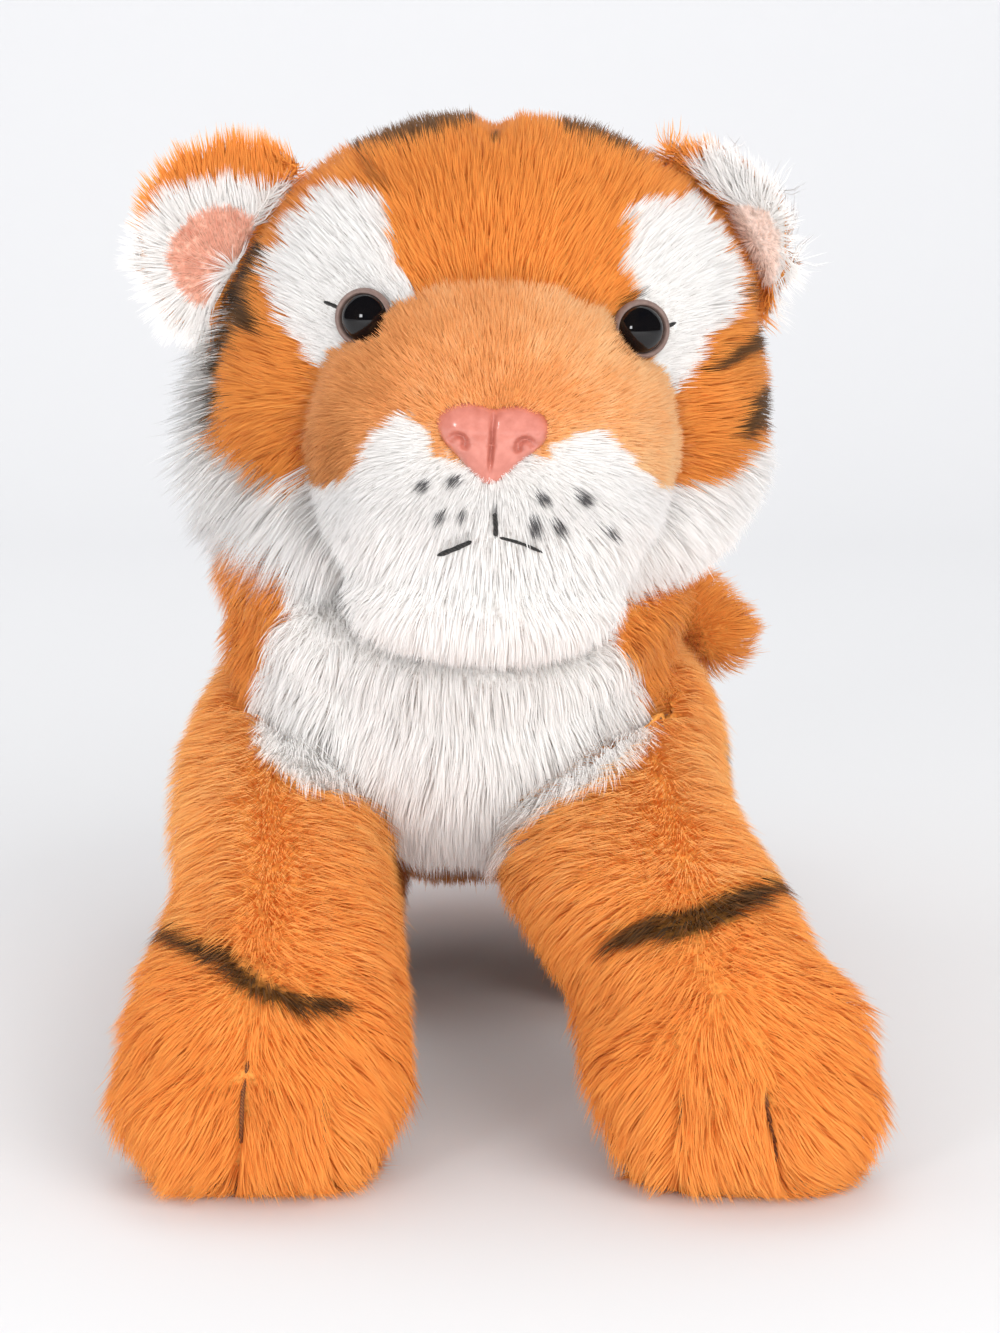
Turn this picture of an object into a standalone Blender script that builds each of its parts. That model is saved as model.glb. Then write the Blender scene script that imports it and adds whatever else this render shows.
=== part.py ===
"""A plush tiger that crouches on its four paws, about 34 cm from paw to tail.

Each stuffed form is a pile-fabric skin round its own stuffing. The skins are open where
they are sewn to each other. The toy looks along -Y, its own left side is +X, and the
floor is z = 0. All sizes are in metres.
"""

import math

import bmesh
import bpy
from mathutils import Matrix, Vector
from mathutils.bvhtree import BVHTree

# Fabric and fits
SKIN = 0.005  # woven backing and the dense half of the pile
CLEARANCE = 0.0003  # between pieces that touch
SOLE_CUT = 0.0005  # how deep the flat soles are cut
FLOOR_REACH = 0.300  # half the width of the block that cuts them
OVERRUN = 0.030  # how far cutters run past what they cut
OPENING_REACH = 0.009  # how far a cavity runs out through the open end of its skin

# Torso, from the chest back to the rump
TORSO_X = -0.009
CHEST_Y = -0.044
CHEST_Z = 0.098
CHEST_WIDTH = 0.100
CHEST_DEPTH = 0.090
CHEST_FRONT = 0.042
WAIST_Y = 0.030
WAIST_Z = 0.091
WAIST_WIDTH = 0.104
WAIST_DEPTH = 0.094
RUMP_Y = 0.095
RUMP_Z = 0.068
RUMP_WIDTH = 0.122
RUMP_DEPTH = 0.112
RUMP_BACK = 0.046

# White chest and belly panel, whose outline is in shares of the chest's width and depth
CHEST_PANEL_REACH = 0.110  # from the chest's centre back along the belly
CHEST_PANEL_PITCH = math.radians(24)  # how steeply the panel runs down to the belly
CHEST_OUTLINE_SHARES = (
    (-0.36, 0.34),
    (-0.41, 0.16),
    (-0.42, -0.04),
    (-0.37, -0.20),
    (-0.29, -0.34),
    (-0.27, -0.75),
    (0.27, -0.75),
    (0.29, -0.34),
    (0.37, -0.20),
    (0.42, -0.04),
    (0.41, 0.16),
    (0.36, 0.34),
)

# Head, a round form on an upright spine, turned and tilted a little
HEAD_X = -0.001
HEAD_Y = -0.044
HEAD_SINK = 0.036  # how deep the head sits in the shoulders
HEAD_TURN_ROOM = 0.0020  # beside the head in its seat, which the facets narrow
CHIN_TURN_ROOM = 0.0060  # round the chin in its own
HEAD_WIDTH = 0.128
HEAD_DEPTH = 0.104
HEAD_CROWN_WIDTH = 0.120
HEAD_LOWER = 0.043
HEAD_MIDDLE = 0.026
HEAD_UPPER = 0.048
HEAD_YAW = math.radians(1.0)
HEAD_ROLL = math.radians(2.5)
NECK_OPENING = 0.026  # radius of the hole in the head's skin at the neck

# White lower cheeks, as a side outline in shares of the head's depth and height
CHEEK_OUTLINE_SHARES = (
    (-0.95, 0.22),
    (-0.42, 0.22),
    (-0.20, 0.28),
    (-0.06, 0.42),
    (0.02, 0.56),
    (0.16, 0.60),
    (0.26, 0.48),
    (0.32, 0.20),
    (0.28, -0.25),
    (-0.95, -0.25),
)

# White eye patches, as a front outline in shares of the head's width and height
PATCH_OUTLINE_SHARES = (
    (0.150, 0.640),
    (0.168, 0.790),
    (0.235, 0.865),
    (0.320, 0.835),
    (0.375, 0.740),
    (0.368, 0.640),
    (0.300, 0.530),
    (0.245, 0.515),
)
PATCH_DEPTH = 0.060  # from the front of the head back

# Muzzle, two lobes of short pile on one form, and the chin below it
MUZZLE_WIDTH = 0.083
MUZZLE_ROOT_DEPTH = 0.080
MUZZLE_TIP_WIDTH = 0.080
MUZZLE_TIP_DEPTH = 0.073
MUZZLE_RISE = 0.046  # centre of its root above the head's underside
MUZZLE_DROP = 0.001  # how much lower its front is
MUZZLE_ROOT_Y = 0.014  # in front of the head's spine
MUZZLE_LENGTH = 0.031
MUZZLE_NOSE_END = 0.029
MUZZLE_SKIN = 0.0045
MUZZLE_OUTLINE_SHARES = (
    (-0.75, -0.75),
    (0.75, -0.75),
    (0.75, -0.125),
    (0.50, -0.10),
    (0.37, 0.02),
    (0.26, 0.08),
    (0.14, 0.03),
    (0.0, -0.08),
    (-0.14, 0.03),
    (-0.26, 0.08),
    (-0.37, 0.02),
    (-0.50, -0.10),
    (-0.75, -0.125),
)
CHIN_WIDTH = 0.062
CHIN_DEPTH = 0.056
CHIN_HEIGHT = 0.029
CHIN_RISE = 0.0125
CHIN_FORWARD = 0.042

# Eyes on shanks, with a rim in front of the fabric and a lock washer behind it
EYE_SPACING = 0.0596
EYE_RISE = 0.0720  # above the head's underside
EYE_RADIUS = 0.0053
EYE_BULGE = 0.0040
EYE_BASE = 0.0008
EYE_OUTWARD = 0.45  # how far each eye turns from straight ahead to the surface's normal
RIM_RADIUS = 0.0066
RIM_THICKNESS = 0.0012
EYE_SINK = 0.0018  # how deep the rim's seat goes into the pile
SHANK_RADIUS = 0.0019
SHANK_END = 0.0030  # how far a shank runs past its washer
WASHER_RADIUS = 0.0065
WASHER_THICKNESS = 0.0014
EYE_THREAD_START = 0.0012  # from the rim outwards
EYE_THREAD_LENGTH = 0.0045

# Nose, a moulded piece with a rounded triangle's front, on a shank like the eyes
NOSE_WIDTH = 0.0240
NOSE_HEIGHT = 0.0162
NOSE_BULGE = 0.0068  # of its front, from its rim
NOSE_BACK = 0.0012
NOSE_RISE = 0.0030  # above the middle of the muzzle's front
NOSE_SINK = 0.0020  # how deep its rim sits in the pile
NOSE_UPWARD = 0.5  # how far it turns from straight ahead to the surface's normal
NOSE_CHIN_SHARE = 0.40  # how narrow its lower end is

# Threads
THREAD_RADIUS = 0.0005
TOE_THREAD_RADIUS = 0.0006
MOUTH_TOP = 0.0100  # below the nose's centre
MOUTH_FORK = 0.0190
MOUTH_CORNER = 0.0225
MOUTH_REACH = 0.0125
MOUTH_GAP = 0.0018  # between the strokes

# Ears, dished discs that are folded forward at their sewn edge
EAR_LENGTH = 0.052  # along the head
EAR_HEIGHT = 0.056
EAR_BACK_RISE = 0.0050
EAR_LINING_RISE = 0.0042
EAR_DISH = 0.0090
EAR_LINING_SHARE = 0.90
EAR_PATCH_LENGTH_SHARE = 0.44
EAR_PATCH_HEIGHT_SHARE = 0.36
EAR_PATCH_RISE_SHARE = 0.10  # of the ear's height, above the disc's centre
EAR_AIM = 0.050  # height on the head's spine that the ears point away from
EAR_BACKWARD = 0.006
EAR_ROOTS = (-0.005, 0.003)  # left and right, how far the disc's centre stands off the head
EAR_LEANS = (math.radians(48), math.radians(60))  # from upright
EAR_SWINGS = (math.radians(30), math.radians(6))  # forward at the tip
EAR_LIMITS = (math.radians(-8), math.radians(16))

# Front legs, from the shoulder to the paw
FRONT_HIP_X = 0.038  # from the torso's middle
FRONT_HIP_Y = 0.016  # behind the chest's centre
FRONT_HIP_DROP = 0.018  # below the chest's centre
FRONT_HIP_RADIUS = 0.0245
KNEE_FORWARD = 0.044  # of the hip
KNEE_Z = 0.063
KNEE_RADIUS = 0.0258
ANKLE_FORWARD = 0.079
ANKLE_Z = 0.045
ANKLE_WIDTH = 0.057
ANKLE_DEPTH = 0.056
PAW_FORWARD = 0.1015
PAW_WIDTH = 0.0625
PAW_DEPTH = 0.061
PAW_END = 0.0295
FRONT_KNEE_OUT = (-0.001, 0.004)  # beyond the shoulder's X, for the left and right leg
FRONT_ANKLE_OUT = (0.011, 0.002)
FRONT_PAW_OUT = (0.0205, 0.002)

# Hind legs, folded along the flanks
HIND_HIP_X = 0.042
HIND_HIP_DROP = 0.011  # below the rump's centre
HIND_HIP_Y = -0.006
HIND_HIP_RADIUS = 0.0285
THIGH_FORWARD = 0.037
THIGH_Z = 0.038
THIGH_RADIUS = 0.0280
HIND_PAW_FORWARD = 0.075
HIND_PAW_WIDTH = 0.050
HIND_PAW_DEPTH = 0.048
HIND_PAW_END = 0.023
TOE_SPREAD_SHARE = 0.36  # of a paw's width, between the two toe threads
TOE_TOP_SHARE = 0.50  # of a paw's depth
TOE_FOOT_SHARE = 0.14
TOE_STEPS = 6

# Tail, from the rump round to the left
TAIL_RADIUS = 0.0140
TAIL_ROOT_RISE = 0.010
TAIL_ROOT_INSET = 0.005
TAIL_BEND = Vector((0.030, 0.031, 0.009))  # from its root, like the next two
TAIL_SIDE = Vector((0.055, 0.029, 0.006))
TAIL_TIP = Vector((0.0715, 0.013, -0.0045))

# How far each moving piece turns, from the pose it rests in
HEAD_LIMITS = (math.radians(-18), math.radians(18))
FRONT_LEG_LIMITS = (math.radians(-3), math.radians(14))
HIND_LEG_LIMITS = (math.radians(-2), math.radians(20))
TAIL_LIMITS = (math.radians(-15), math.radians(15))

# Facets
TORSO_FACETS = (14, 10)
HEAD_FACETS = (18, 11)
MUZZLE_FACETS = (14, 8)
LEG_FACETS = (12, 10)
TAIL_FACETS = (8, 10)
CAVITY_FACETS = (8, 6)
BALL_FACETS = (14, 10)
EAR_FACETS = (14, 6)
ROUND_FACETS = 12
BALL_FLAT_SHARE = math.cos(math.pi / BALL_FACETS[0]) * math.cos(math.pi / BALL_FACETS[1] / 2)

X_AXIS = Vector((1, 0, 0))
Y_AXIS = Vector((0, 1, 0))
Z_AXIS = Vector((0, 0, 1))
FRONT_VIEW = Matrix.Rotation(math.pi / 2, 4, "X")
SIDE_VIEW = Matrix.Rotation(math.pi / 2, 4, "Z") @ FRONT_VIEW

COLOURS = {
    "orange_plush": ((0.680, 0.205, 0.022), 0.95),
    "white_plush": ((0.860, 0.850, 0.830), 0.95),
    "tan_plush": ((0.560, 0.235, 0.065), 0.95),
    "pink_plush": ((0.780, 0.360, 0.270), 0.95),
    "stuffing": ((0.800, 0.800, 0.780), 1.0),
    "eye_black": ((0.004, 0.004, 0.005), 0.06),
    "rim_brown": ((0.120, 0.052, 0.028), 0.45),
    "nose_pink": ((0.720, 0.205, 0.160), 0.25),
    "washer_white": ((0.700, 0.700, 0.680), 0.45),
    "black_thread": ((0.012, 0.011, 0.010), 0.80),
    "brown_thread": ((0.150, 0.060, 0.018), 0.85),
}


for leftover in list(bpy.data.objects):
    bpy.data.objects.remove(leftover)

parts = bpy.data.collections.new("plush_tiger")
cutters = bpy.data.collections.new("plush_tiger_cutters")
for collection in (parts, cutters):
    bpy.context.scene.collection.children.link(collection)
toy = bpy.data.objects.new("plush_tiger_origin", None)
parts.objects.link(toy)


def material(name):
    """The named material, made the first time it is asked for."""
    if name in bpy.data.materials:
        return bpy.data.materials[name]
    made = bpy.data.materials.new(name)
    made.use_nodes = True
    shader = made.node_tree.nodes["Principled BSDF"]
    colour, roughness = COLOURS[name]
    shader.inputs["Base Color"].default_value = (*colour, 1)
    shader.inputs["Roughness"].default_value = roughness
    shader.inputs["Metallic"].default_value = 0
    made.diffuse_color = (*colour, 1)
    return made


def add(name, mesh, finish=None, place=None):
    """Adds a mesh as a piece with this finish, or as a cutter if it has none."""
    obj = bpy.data.objects.new(name, mesh)
    obj.parent = toy
    if place is not None:
        obj.matrix_local = place
    mesh.shade_smooth()
    if finish is None:
        cutters.objects.link(obj)
        obj.hide_render = True
        obj.display_type = "WIRE"
    else:
        parts.objects.link(obj)
        mesh.set_sharp_from_angle(angle=math.radians(50))
        mesh.materials.clear()
        mesh.materials.append(material(finish))
    return obj


def boolean(obj, others, operation="DIFFERENCE"):
    """Keeps a Boolean modifier on the object for each of the others."""
    for other in others:
        modifier = obj.modifiers.new(other.name, "BOOLEAN")
        modifier.operation = operation
        modifier.solver = "EXACT"
        modifier.object = other
    return obj


def through(values, at):
    """The Catmull-Rom curve through values, at a place counted in values from the first."""
    last = len(values) - 1
    first = min(int(at), last - 1)
    part = at - first
    here, after = values[first], values[first + 1]
    before = values[first - 1] if first > 0 else here * 2 - after
    beyond = values[first + 2] if first + 2 <= last else after * 2 - here
    bend = before * 2 - here * 5 + after * 4 - beyond
    twist = here * 3 - before - after * 3 + beyond
    return here + ((after - before) * part + bend * part**2 + twist * part**3) * 0.5


class Form:
    """A stuffed shape: rings round a spine, with a round end before its root and past its tip."""

    def __init__(self, centres, widths, depths, root_end, tip_end, facets, side=X_AXIS):
        self.centres = [Vector(centre) for centre in centres]
        self.widths = widths
        self.depths = depths
        self.root_end = root_end
        self.tip_end = tip_end
        self.facets = facets
        self.side = side

    def with_root_moved(self, reach):
        """The same form with its root carried back along the spine."""
        centres = list(self.centres)
        centres[0] = centres[0] - self.frame(0.0)[2] * reach
        return Form(
            centres, self.widths, self.depths, self.root_end, self.tip_end, self.facets, self.side
        )

    def frame(self, at):
        """The directions across the width, across the depth and along the spine."""
        step = 0.01
        last = len(self.centres) - 1
        behind, ahead = max(at - step, 0.0), min(at + step, last)
        along = (through(self.centres, ahead) - through(self.centres, behind)).normalized()
        across = (self.side - along * self.side.dot(along)).normalized()
        return across, along.cross(across), along

    def place(self, unit, grow):
        """Where a point of the unit sphere goes on the form's surface, grown by this much."""
        root, tip = self.root_end + grow, self.tip_end + grow
        spans = [(b - a).length for a, b in zip(self.centres, self.centres[1:])]
        quarter = math.pi / 2
        whole = quarter * (root + tip) + sum(spans)
        run = whole * (1 - math.acos(max(-1.0, min(1.0, unit.z))) / math.pi)
        past, scale = 0.0, 1.0
        if run < quarter * root:
            at = 0.0
            past, scale = -root * math.cos(run / root), math.sin(run / root)
        elif run > whole - quarter * tip:
            at = float(len(spans))
            past, scale = tip * math.cos((whole - run) / tip), math.sin((whole - run) / tip)
        else:
            run -= quarter * root
            index = 0
            while index < len(spans) - 1 and run > spans[index]:
                run -= spans[index]
                index += 1
            at = index + min(run / spans[index], 1.0)
        across, deep, along = self.frame(at)
        around = Vector((unit.x, unit.y))
        if around.length > 0:
            around.normalize()
        width = (through(self.widths, at) / 2 + grow) * scale * around.x
        depth = (through(self.depths, at) / 2 + grow) * scale * around.y
        return through(self.centres, at) + along * past + across * width + deep * depth

    def mesh(self, name, grow=0.0, facets=None):
        sides, rings = facets or self.facets
        shape = bmesh.new()
        half_facet = Matrix.Rotation(math.pi / sides, 4, "Z")
        bmesh.ops.create_uvsphere(
            shape, u_segments=sides, v_segments=rings, radius=1.0, matrix=half_facet
        )
        for vertex in shape.verts:
            vertex.co = self.place(vertex.co, grow)
        bmesh.ops.triangulate(shape, faces=shape.faces, quad_method="FIXED")
        return finished(shape, name)

    def lowest(self):
        """The height of the surface's lowest point."""
        mesh = self.mesh("measured")
        height = min(vertex.co.z for vertex in mesh.vertices)
        bpy.data.meshes.remove(mesh)
        return height

    def on_floor(self):
        """The same form with all but its root moved up or down until it touches the floor."""
        form = self
        for _ in range(4):
            drop = Z_AXIS * form.lowest()
            centres = [form.centres[0]] + [centre - drop for centre in form.centres[1:]]
            form = Form(
                centres, self.widths, self.depths, self.root_end, self.tip_end, self.facets
            )
        return form


def finished(shape, name):
    """Turns a bmesh into a mesh and frees it."""
    mesh = bpy.data.meshes.new(name)
    shape.to_mesh(mesh)
    shape.free()
    return mesh


def ellipsoid(name, half_sizes, facets=BALL_FACETS):
    shape = bmesh.new()
    bmesh.ops.create_uvsphere(shape, u_segments=facets[0], v_segments=facets[1], radius=1.0)
    bmesh.ops.scale(shape, vec=half_sizes, verts=shape.verts)
    return finished(shape, name)


def ball(name, centre, radius):
    """A cutter for a ball socket."""
    return add(name, ellipsoid(name, (radius, radius, radius)), place=Matrix.Translation(centre))


def turned(name, profile, finish=None, place=None):
    """A closed profile of (radius, height) points, turned round the local Z axis."""
    mesh = bpy.data.meshes.new(name)
    shape = bmesh.new()
    points = [shape.verts.new((radius, 0, height)) for radius, height in profile]
    for first, second in zip(points, points[1:]):
        shape.edges.new((first, second))
    if profile[0][0] > 0:
        shape.edges.new((points[-1], points[0]))
    shape.to_mesh(mesh)
    shape.free()
    obj = add(name, mesh, finish, place)
    screw = obj.modifiers.new("turned", "SCREW")
    screw.steps = screw.render_steps = ROUND_FACETS
    screw.use_merge_vertices = True
    screw.merge_threshold = CLEARANCE / 10
    return obj


def prism(name, outline, place, depth):
    """A smooth closed outline in the local XY plane, extruded from z = 0 by depth."""
    curve = bpy.data.curves.new(name, "CURVE")
    curve.dimensions = "2D"
    curve.fill_mode = "BOTH"
    curve.extrude = depth / 2
    spline = curve.splines.new("POLY")
    spline.points.add(len(outline) - 1)
    for point, (x, y) in zip(spline.points, outline):
        point.co = (x, y, 0, 1)
    spline.use_cyclic_u = True
    guide = bpy.data.objects.new(name, curve)
    cutters.objects.link(guide)
    bpy.context.view_layer.update()
    graph = bpy.context.evaluated_depsgraph_get()
    mesh = bpy.data.meshes.new_from_object(guide.evaluated_get(graph))
    bpy.data.objects.remove(guide)
    bpy.data.curves.remove(curve)
    shape = bmesh.new()
    shape.from_mesh(mesh)
    bpy.data.meshes.remove(mesh)
    bmesh.ops.remove_doubles(shape, verts=shape.verts, dist=CLEARANCE / 10)
    bmesh.ops.recalc_face_normals(shape, faces=shape.faces)
    bmesh.ops.translate(shape, vec=Z_AXIS * depth / 2, verts=shape.verts)
    return add(name, finished(shape, name), place=place)


def smoothed(points, steps=2):
    """A closed outline through these points, each span drawn in this many steps."""
    count = len(points)
    wrapped = [Vector(points[index % count]) for index in range(-1, count + 2)]
    return [
        through(wrapped, 1 + index + step / steps) for index in range(count) for step in range(steps)
    ]


def widened(outline, by):
    """The outline moved outwards by a distance, or inwards if it is negative."""
    count = len(outline)
    turns = sum(
        a.x * b.y - b.x * a.y for a, b in ((outline[i], outline[(i + 1) % count]) for i in range(count))
    )
    outward = math.copysign(by, turns)
    moved = []
    for index, point in enumerate(outline):
        before = (point - outline[index - 1]).normalized()
        after = (outline[(index + 1) % count] - point).normalized()
        mean = (before + after).normalized()
        corner = max(mean.dot(after), 0.5)
        moved.append(point + Vector((mean.y, -mean.x)) * outward / corner)
    return moved


def thread(name, points, radius, finish):
    """A stitch: a thin round tube along points that lie just off the fabric."""
    curve = bpy.data.curves.new(name, "CURVE")
    curve.dimensions = "3D"
    curve.bevel_depth = radius
    curve.bevel_resolution = 1
    curve.use_fill_caps = True
    spline = curve.splines.new("POLY")
    spline.points.add(len(points) - 1)
    for point, place in zip(spline.points, points):
        point.co = (*place, 1)
    curve.materials.append(material(finish))
    obj = bpy.data.objects.new(name, curve)
    obj.parent = toy
    parts.objects.link(obj)
    return obj


def surface(meshes_and_places):
    """A tree for finding points on several placed meshes at once."""
    whole = bmesh.new()
    for mesh, place in meshes_and_places:
        start = len(whole.verts)
        whole.from_mesh(mesh)
        whole.verts.ensure_lookup_table()
        bmesh.ops.transform(whole, matrix=place, verts=whole.verts[start:])
    tree = BVHTree.FromBMesh(whole)
    whole.free()
    return tree


def looked_at(tree, x, z, from_y):
    """Where a line along +Y from in front meets the surface, and the normal there."""
    point, normal, _, _ = tree.ray_cast(Vector((x, from_y, z)), Y_AXIS)
    return point, normal


def stitched(name, tree, places, from_y, radius, finish, place):
    """A thread laid on the surface, through (x, z) places as seen from the front."""
    off = radius + 2 * CLEARANCE
    points = []
    for x, z in places:
        point, normal = looked_at(tree, x, z, from_y)
        points.append(place @ (point + normal * off))
    return thread(name, points, radius, finish)


def between(start, end, steps):
    """Places spread evenly from start to end."""
    return [
        tuple(a + (b - a) * step / steps for a, b in zip(start, end)) for step in range(steps + 1)
    ]


def turned_about(point, axis, angle):
    return Matrix.Translation(point) @ Matrix.Rotation(angle, 4, axis) @ Matrix.Translation(-point)


def copies_at(cutter, point, axis, angles):
    """The cutter, with a copy of it turned about the joint by each of these angles."""
    found = [cutter]
    for number, angle in enumerate(angles):
        name = f"{cutter.name}_turned_{number + 1}"
        place = turned_about(point, axis, angle) @ cutter.matrix_basis
        found.append(add(name, cutter.data.copy(), place=place))
    return found


def fixed(obj):
    """The object with its modifiers made part of its mesh."""
    bpy.context.view_layer.update()
    graph = bpy.context.evaluated_depsgraph_get()
    mesh = bpy.data.meshes.new_from_object(obj.evaluated_get(graph))
    obj.modifiers.clear()
    obj.data = mesh
    return obj


def block(name, low, high):
    shape = bmesh.new()
    bmesh.ops.create_cube(shape, size=1.0)
    bmesh.ops.scale(shape, vec=high - low, verts=shape.verts)
    bmesh.ops.translate(shape, vec=(low + high) / 2, verts=shape.verts)
    return add(name, finished(shape, name))


def seated(point, axis):
    """A frame at a point, with Z along the axis and Y as near to upright as it can be."""
    across = Z_AXIS.cross(axis).normalized()
    turn = Matrix((across, axis.cross(across), axis)).transposed()
    return Matrix.Translation(point) @ turn.to_4x4()


def scaled(shares, width, height, base=0.0):
    return [Vector((x * width, base + y * height)) for x, y in shares]


# The forms that give the pieces their shapes
chest = Vector((TORSO_X, CHEST_Y, CHEST_Z))
rump = Vector((TORSO_X, RUMP_Y, RUMP_Z))
torso_form = Form(
    (chest, (TORSO_X, WAIST_Y, WAIST_Z), rump),
    (CHEST_WIDTH, WAIST_WIDTH, RUMP_WIDTH),
    (CHEST_DEPTH, WAIST_DEPTH, RUMP_DEPTH),
    CHEST_FRONT,
    RUMP_BACK,
    TORSO_FACETS,
)

head_under = CHEST_Z + CHEST_DEPTH / 2 - HEAD_SINK
head_height = HEAD_LOWER + HEAD_MIDDLE + HEAD_UPPER
head_place = (
    Matrix.Translation((HEAD_X, HEAD_Y, head_under + HEAD_LOWER))
    @ Matrix.Rotation(HEAD_YAW, 4, "Z")
    @ Matrix.Rotation(HEAD_ROLL, 4, "Y")
    @ Matrix.Translation((0, 0, -HEAD_LOWER))
)
neck = head_place @ Vector((0, 0, HEAD_LOWER))
neck_axis = head_place.to_3x3() @ Z_AXIS
head_form = Form(
    ((0, 0, HEAD_LOWER), (0, 0, HEAD_LOWER + HEAD_MIDDLE)),
    (HEAD_WIDTH, HEAD_CROWN_WIDTH),
    (HEAD_DEPTH, HEAD_DEPTH),
    HEAD_LOWER,
    HEAD_UPPER,
    HEAD_FACETS,
)
muzzle_front = Vector((0, -MUZZLE_ROOT_Y - MUZZLE_LENGTH, MUZZLE_RISE - MUZZLE_DROP))
muzzle_form = Form(
    ((0, -MUZZLE_ROOT_Y, MUZZLE_RISE), muzzle_front),
    (MUZZLE_WIDTH, MUZZLE_TIP_WIDTH),
    (MUZZLE_ROOT_DEPTH, MUZZLE_TIP_DEPTH),
    MUZZLE_LENGTH / 2,
    MUZZLE_NOSE_END,
    MUZZLE_FACETS,
)
head_front_y = -HEAD_DEPTH - OVERRUN


def leg_form(hip, radius, stations, tip_end):
    """A ball at the hip, then each station's place, width and depth."""
    return Form(
        [hip] + [place for place, _, _ in stations],
        [radius * 2] + [width for _, width, _ in stations],
        [radius * 2] + [depth for _, _, depth in stations],
        radius,
        tip_end,
        LEG_FACETS,
    ).on_floor()


def front_leg(index, side):
    x = TORSO_X + side * FRONT_HIP_X
    hip = Vector((x, CHEST_Y + FRONT_HIP_Y, CHEST_Z - FRONT_HIP_DROP))
    knee = Vector((x + side * FRONT_KNEE_OUT[index], hip.y - KNEE_FORWARD, KNEE_Z))
    ankle = Vector((x + side * FRONT_ANKLE_OUT[index], hip.y - ANKLE_FORWARD, ANKLE_Z))
    paw = Vector((x + side * FRONT_PAW_OUT[index], hip.y - PAW_FORWARD, PAW_DEPTH / 2))
    stations = (
        (knee, KNEE_RADIUS * 2, KNEE_RADIUS * 2),
        (ankle, ANKLE_WIDTH, ANKLE_DEPTH),
        (paw, PAW_WIDTH, PAW_DEPTH),
    )
    return hip, leg_form(hip, FRONT_HIP_RADIUS, stations, PAW_END)


def hind_leg(side):
    x = TORSO_X + side * HIND_HIP_X
    hip = Vector((x, RUMP_Y + HIND_HIP_Y, RUMP_Z - HIND_HIP_DROP))
    thigh = Vector((x, hip.y - THIGH_FORWARD, THIGH_Z))
    paw = Vector((x, hip.y - HIND_PAW_FORWARD, HIND_PAW_DEPTH / 2))
    stations = (
        (thigh, THIGH_RADIUS * 2, THIGH_RADIUS * 2),
        (paw, HIND_PAW_WIDTH, HIND_PAW_DEPTH),
    )
    return hip, leg_form(hip, HIND_HIP_RADIUS, stations, HIND_PAW_END)


class Limb:
    """A form with a ball at its root, and the joint that it turns on in the torso.

    The hollow holds the ball within its flats, and the socket holds the hollow's corners.
    """

    def __init__(self, name, root, form, axis, towards_torso):
        self.name = name
        self.root = root
        self.form = form
        self.axis = axis.normalized()
        self.towards_torso = towards_torso
        self.hollow_radius = form.root_end / BALL_FLAT_SHARE
        socket_radius = (self.hollow_radius + CLEARANCE) / BALL_FLAT_SHARE
        self.socket = ball(f"{name}_socket", root, socket_radius)


limbs = []
paws = []
for index, (side_name, side) in enumerate((("left", 1), ("right", -1))):
    hip, form = front_leg(index, side)
    reach = (form.centres[-1] - hip).normalized()
    axis = reach.cross(X_AXIS) * side
    limbs.append(Limb(f"front_leg_{side_name}", hip, form, axis, FRONT_LEG_LIMITS[:1]))
    paws.append((f"front_{side_name}", form))
    hip, form = hind_leg(side)
    reach = (form.centres[-1] - hip).normalized()
    axis = reach.cross(X_AXIS) * side
    limbs.append(Limb(f"hind_leg_{side_name}", hip, form, axis, HIND_LEG_LIMITS[:1]))
    paws.append((f"hind_{side_name}", form))

tail_root = Vector((TORSO_X, RUMP_Y + RUMP_BACK - TAIL_ROOT_INSET, RUMP_Z + TAIL_ROOT_RISE))
tail_form = Form(
    (tail_root, tail_root + TAIL_BEND, tail_root + TAIL_SIDE, tail_root + TAIL_TIP),
    (TAIL_RADIUS * 2,) * 4,
    (TAIL_RADIUS * 2,) * 4,
    TAIL_RADIUS,
    TAIL_RADIUS,
    TAIL_FACETS,
    side=Z_AXIS,
)
limbs.append(Limb("tail", tail_root, tail_form, Z_AXIS, TAIL_LIMITS))

# The head's pieces as their neighbours meet them, a clearance larger
head_cutter = add("head_cutter", head_form.mesh("head_cutter", CLEARANCE), place=head_place)
muzzle_cutter = add("muzzle_cutter", muzzle_form.mesh("muzzle_cutter", CLEARANCE), place=head_place)
chin_half = Vector((CHIN_WIDTH, CHIN_DEPTH, CHIN_HEIGHT)) / 2
chin_place = head_place @ Matrix.Translation((0, -CHIN_FORWARD, CHIN_RISE))


def oval_reach(bearing):
    """How far the head's oval section reaches at this angle from its width, at most."""
    return 1 / math.hypot(math.cos(bearing) / HEAD_WIDTH, math.sin(bearing) / HEAD_DEPTH)


# The seat that the turning head and chin need in the shoulders
seat_mesh = head_form.mesh("head_seat", CLEARANCE)
for vertex in seat_mesh.vertices:
    bearing = math.atan2(abs(vertex.co.y), abs(vertex.co.x))
    nearest = max(bearing - HEAD_LIMITS[1], 0)
    swept = oval_reach(nearest) / oval_reach(bearing)
    sideways = math.hypot(vertex.co.x, vertex.co.y)
    widening = swept + HEAD_TURN_ROOM / max(sideways, CLEARANCE)
    vertex.co.x *= widening
    vertex.co.y *= widening
head_seat = add("head_seat", seat_mesh, place=head_place)
swing = CHIN_FORWARD * math.sin(HEAD_LIMITS[1])
chin_room = CLEARANCE + CHIN_TURN_ROOM
chin_swept = chin_half + Vector((swing + chin_room, chin_room, chin_room))
chin_seat = add("chin_seat", ellipsoid("chin_seat", chin_swept, MUZZLE_FACETS), place=chin_place)
head_seats = [head_seat, chin_seat]

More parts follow.
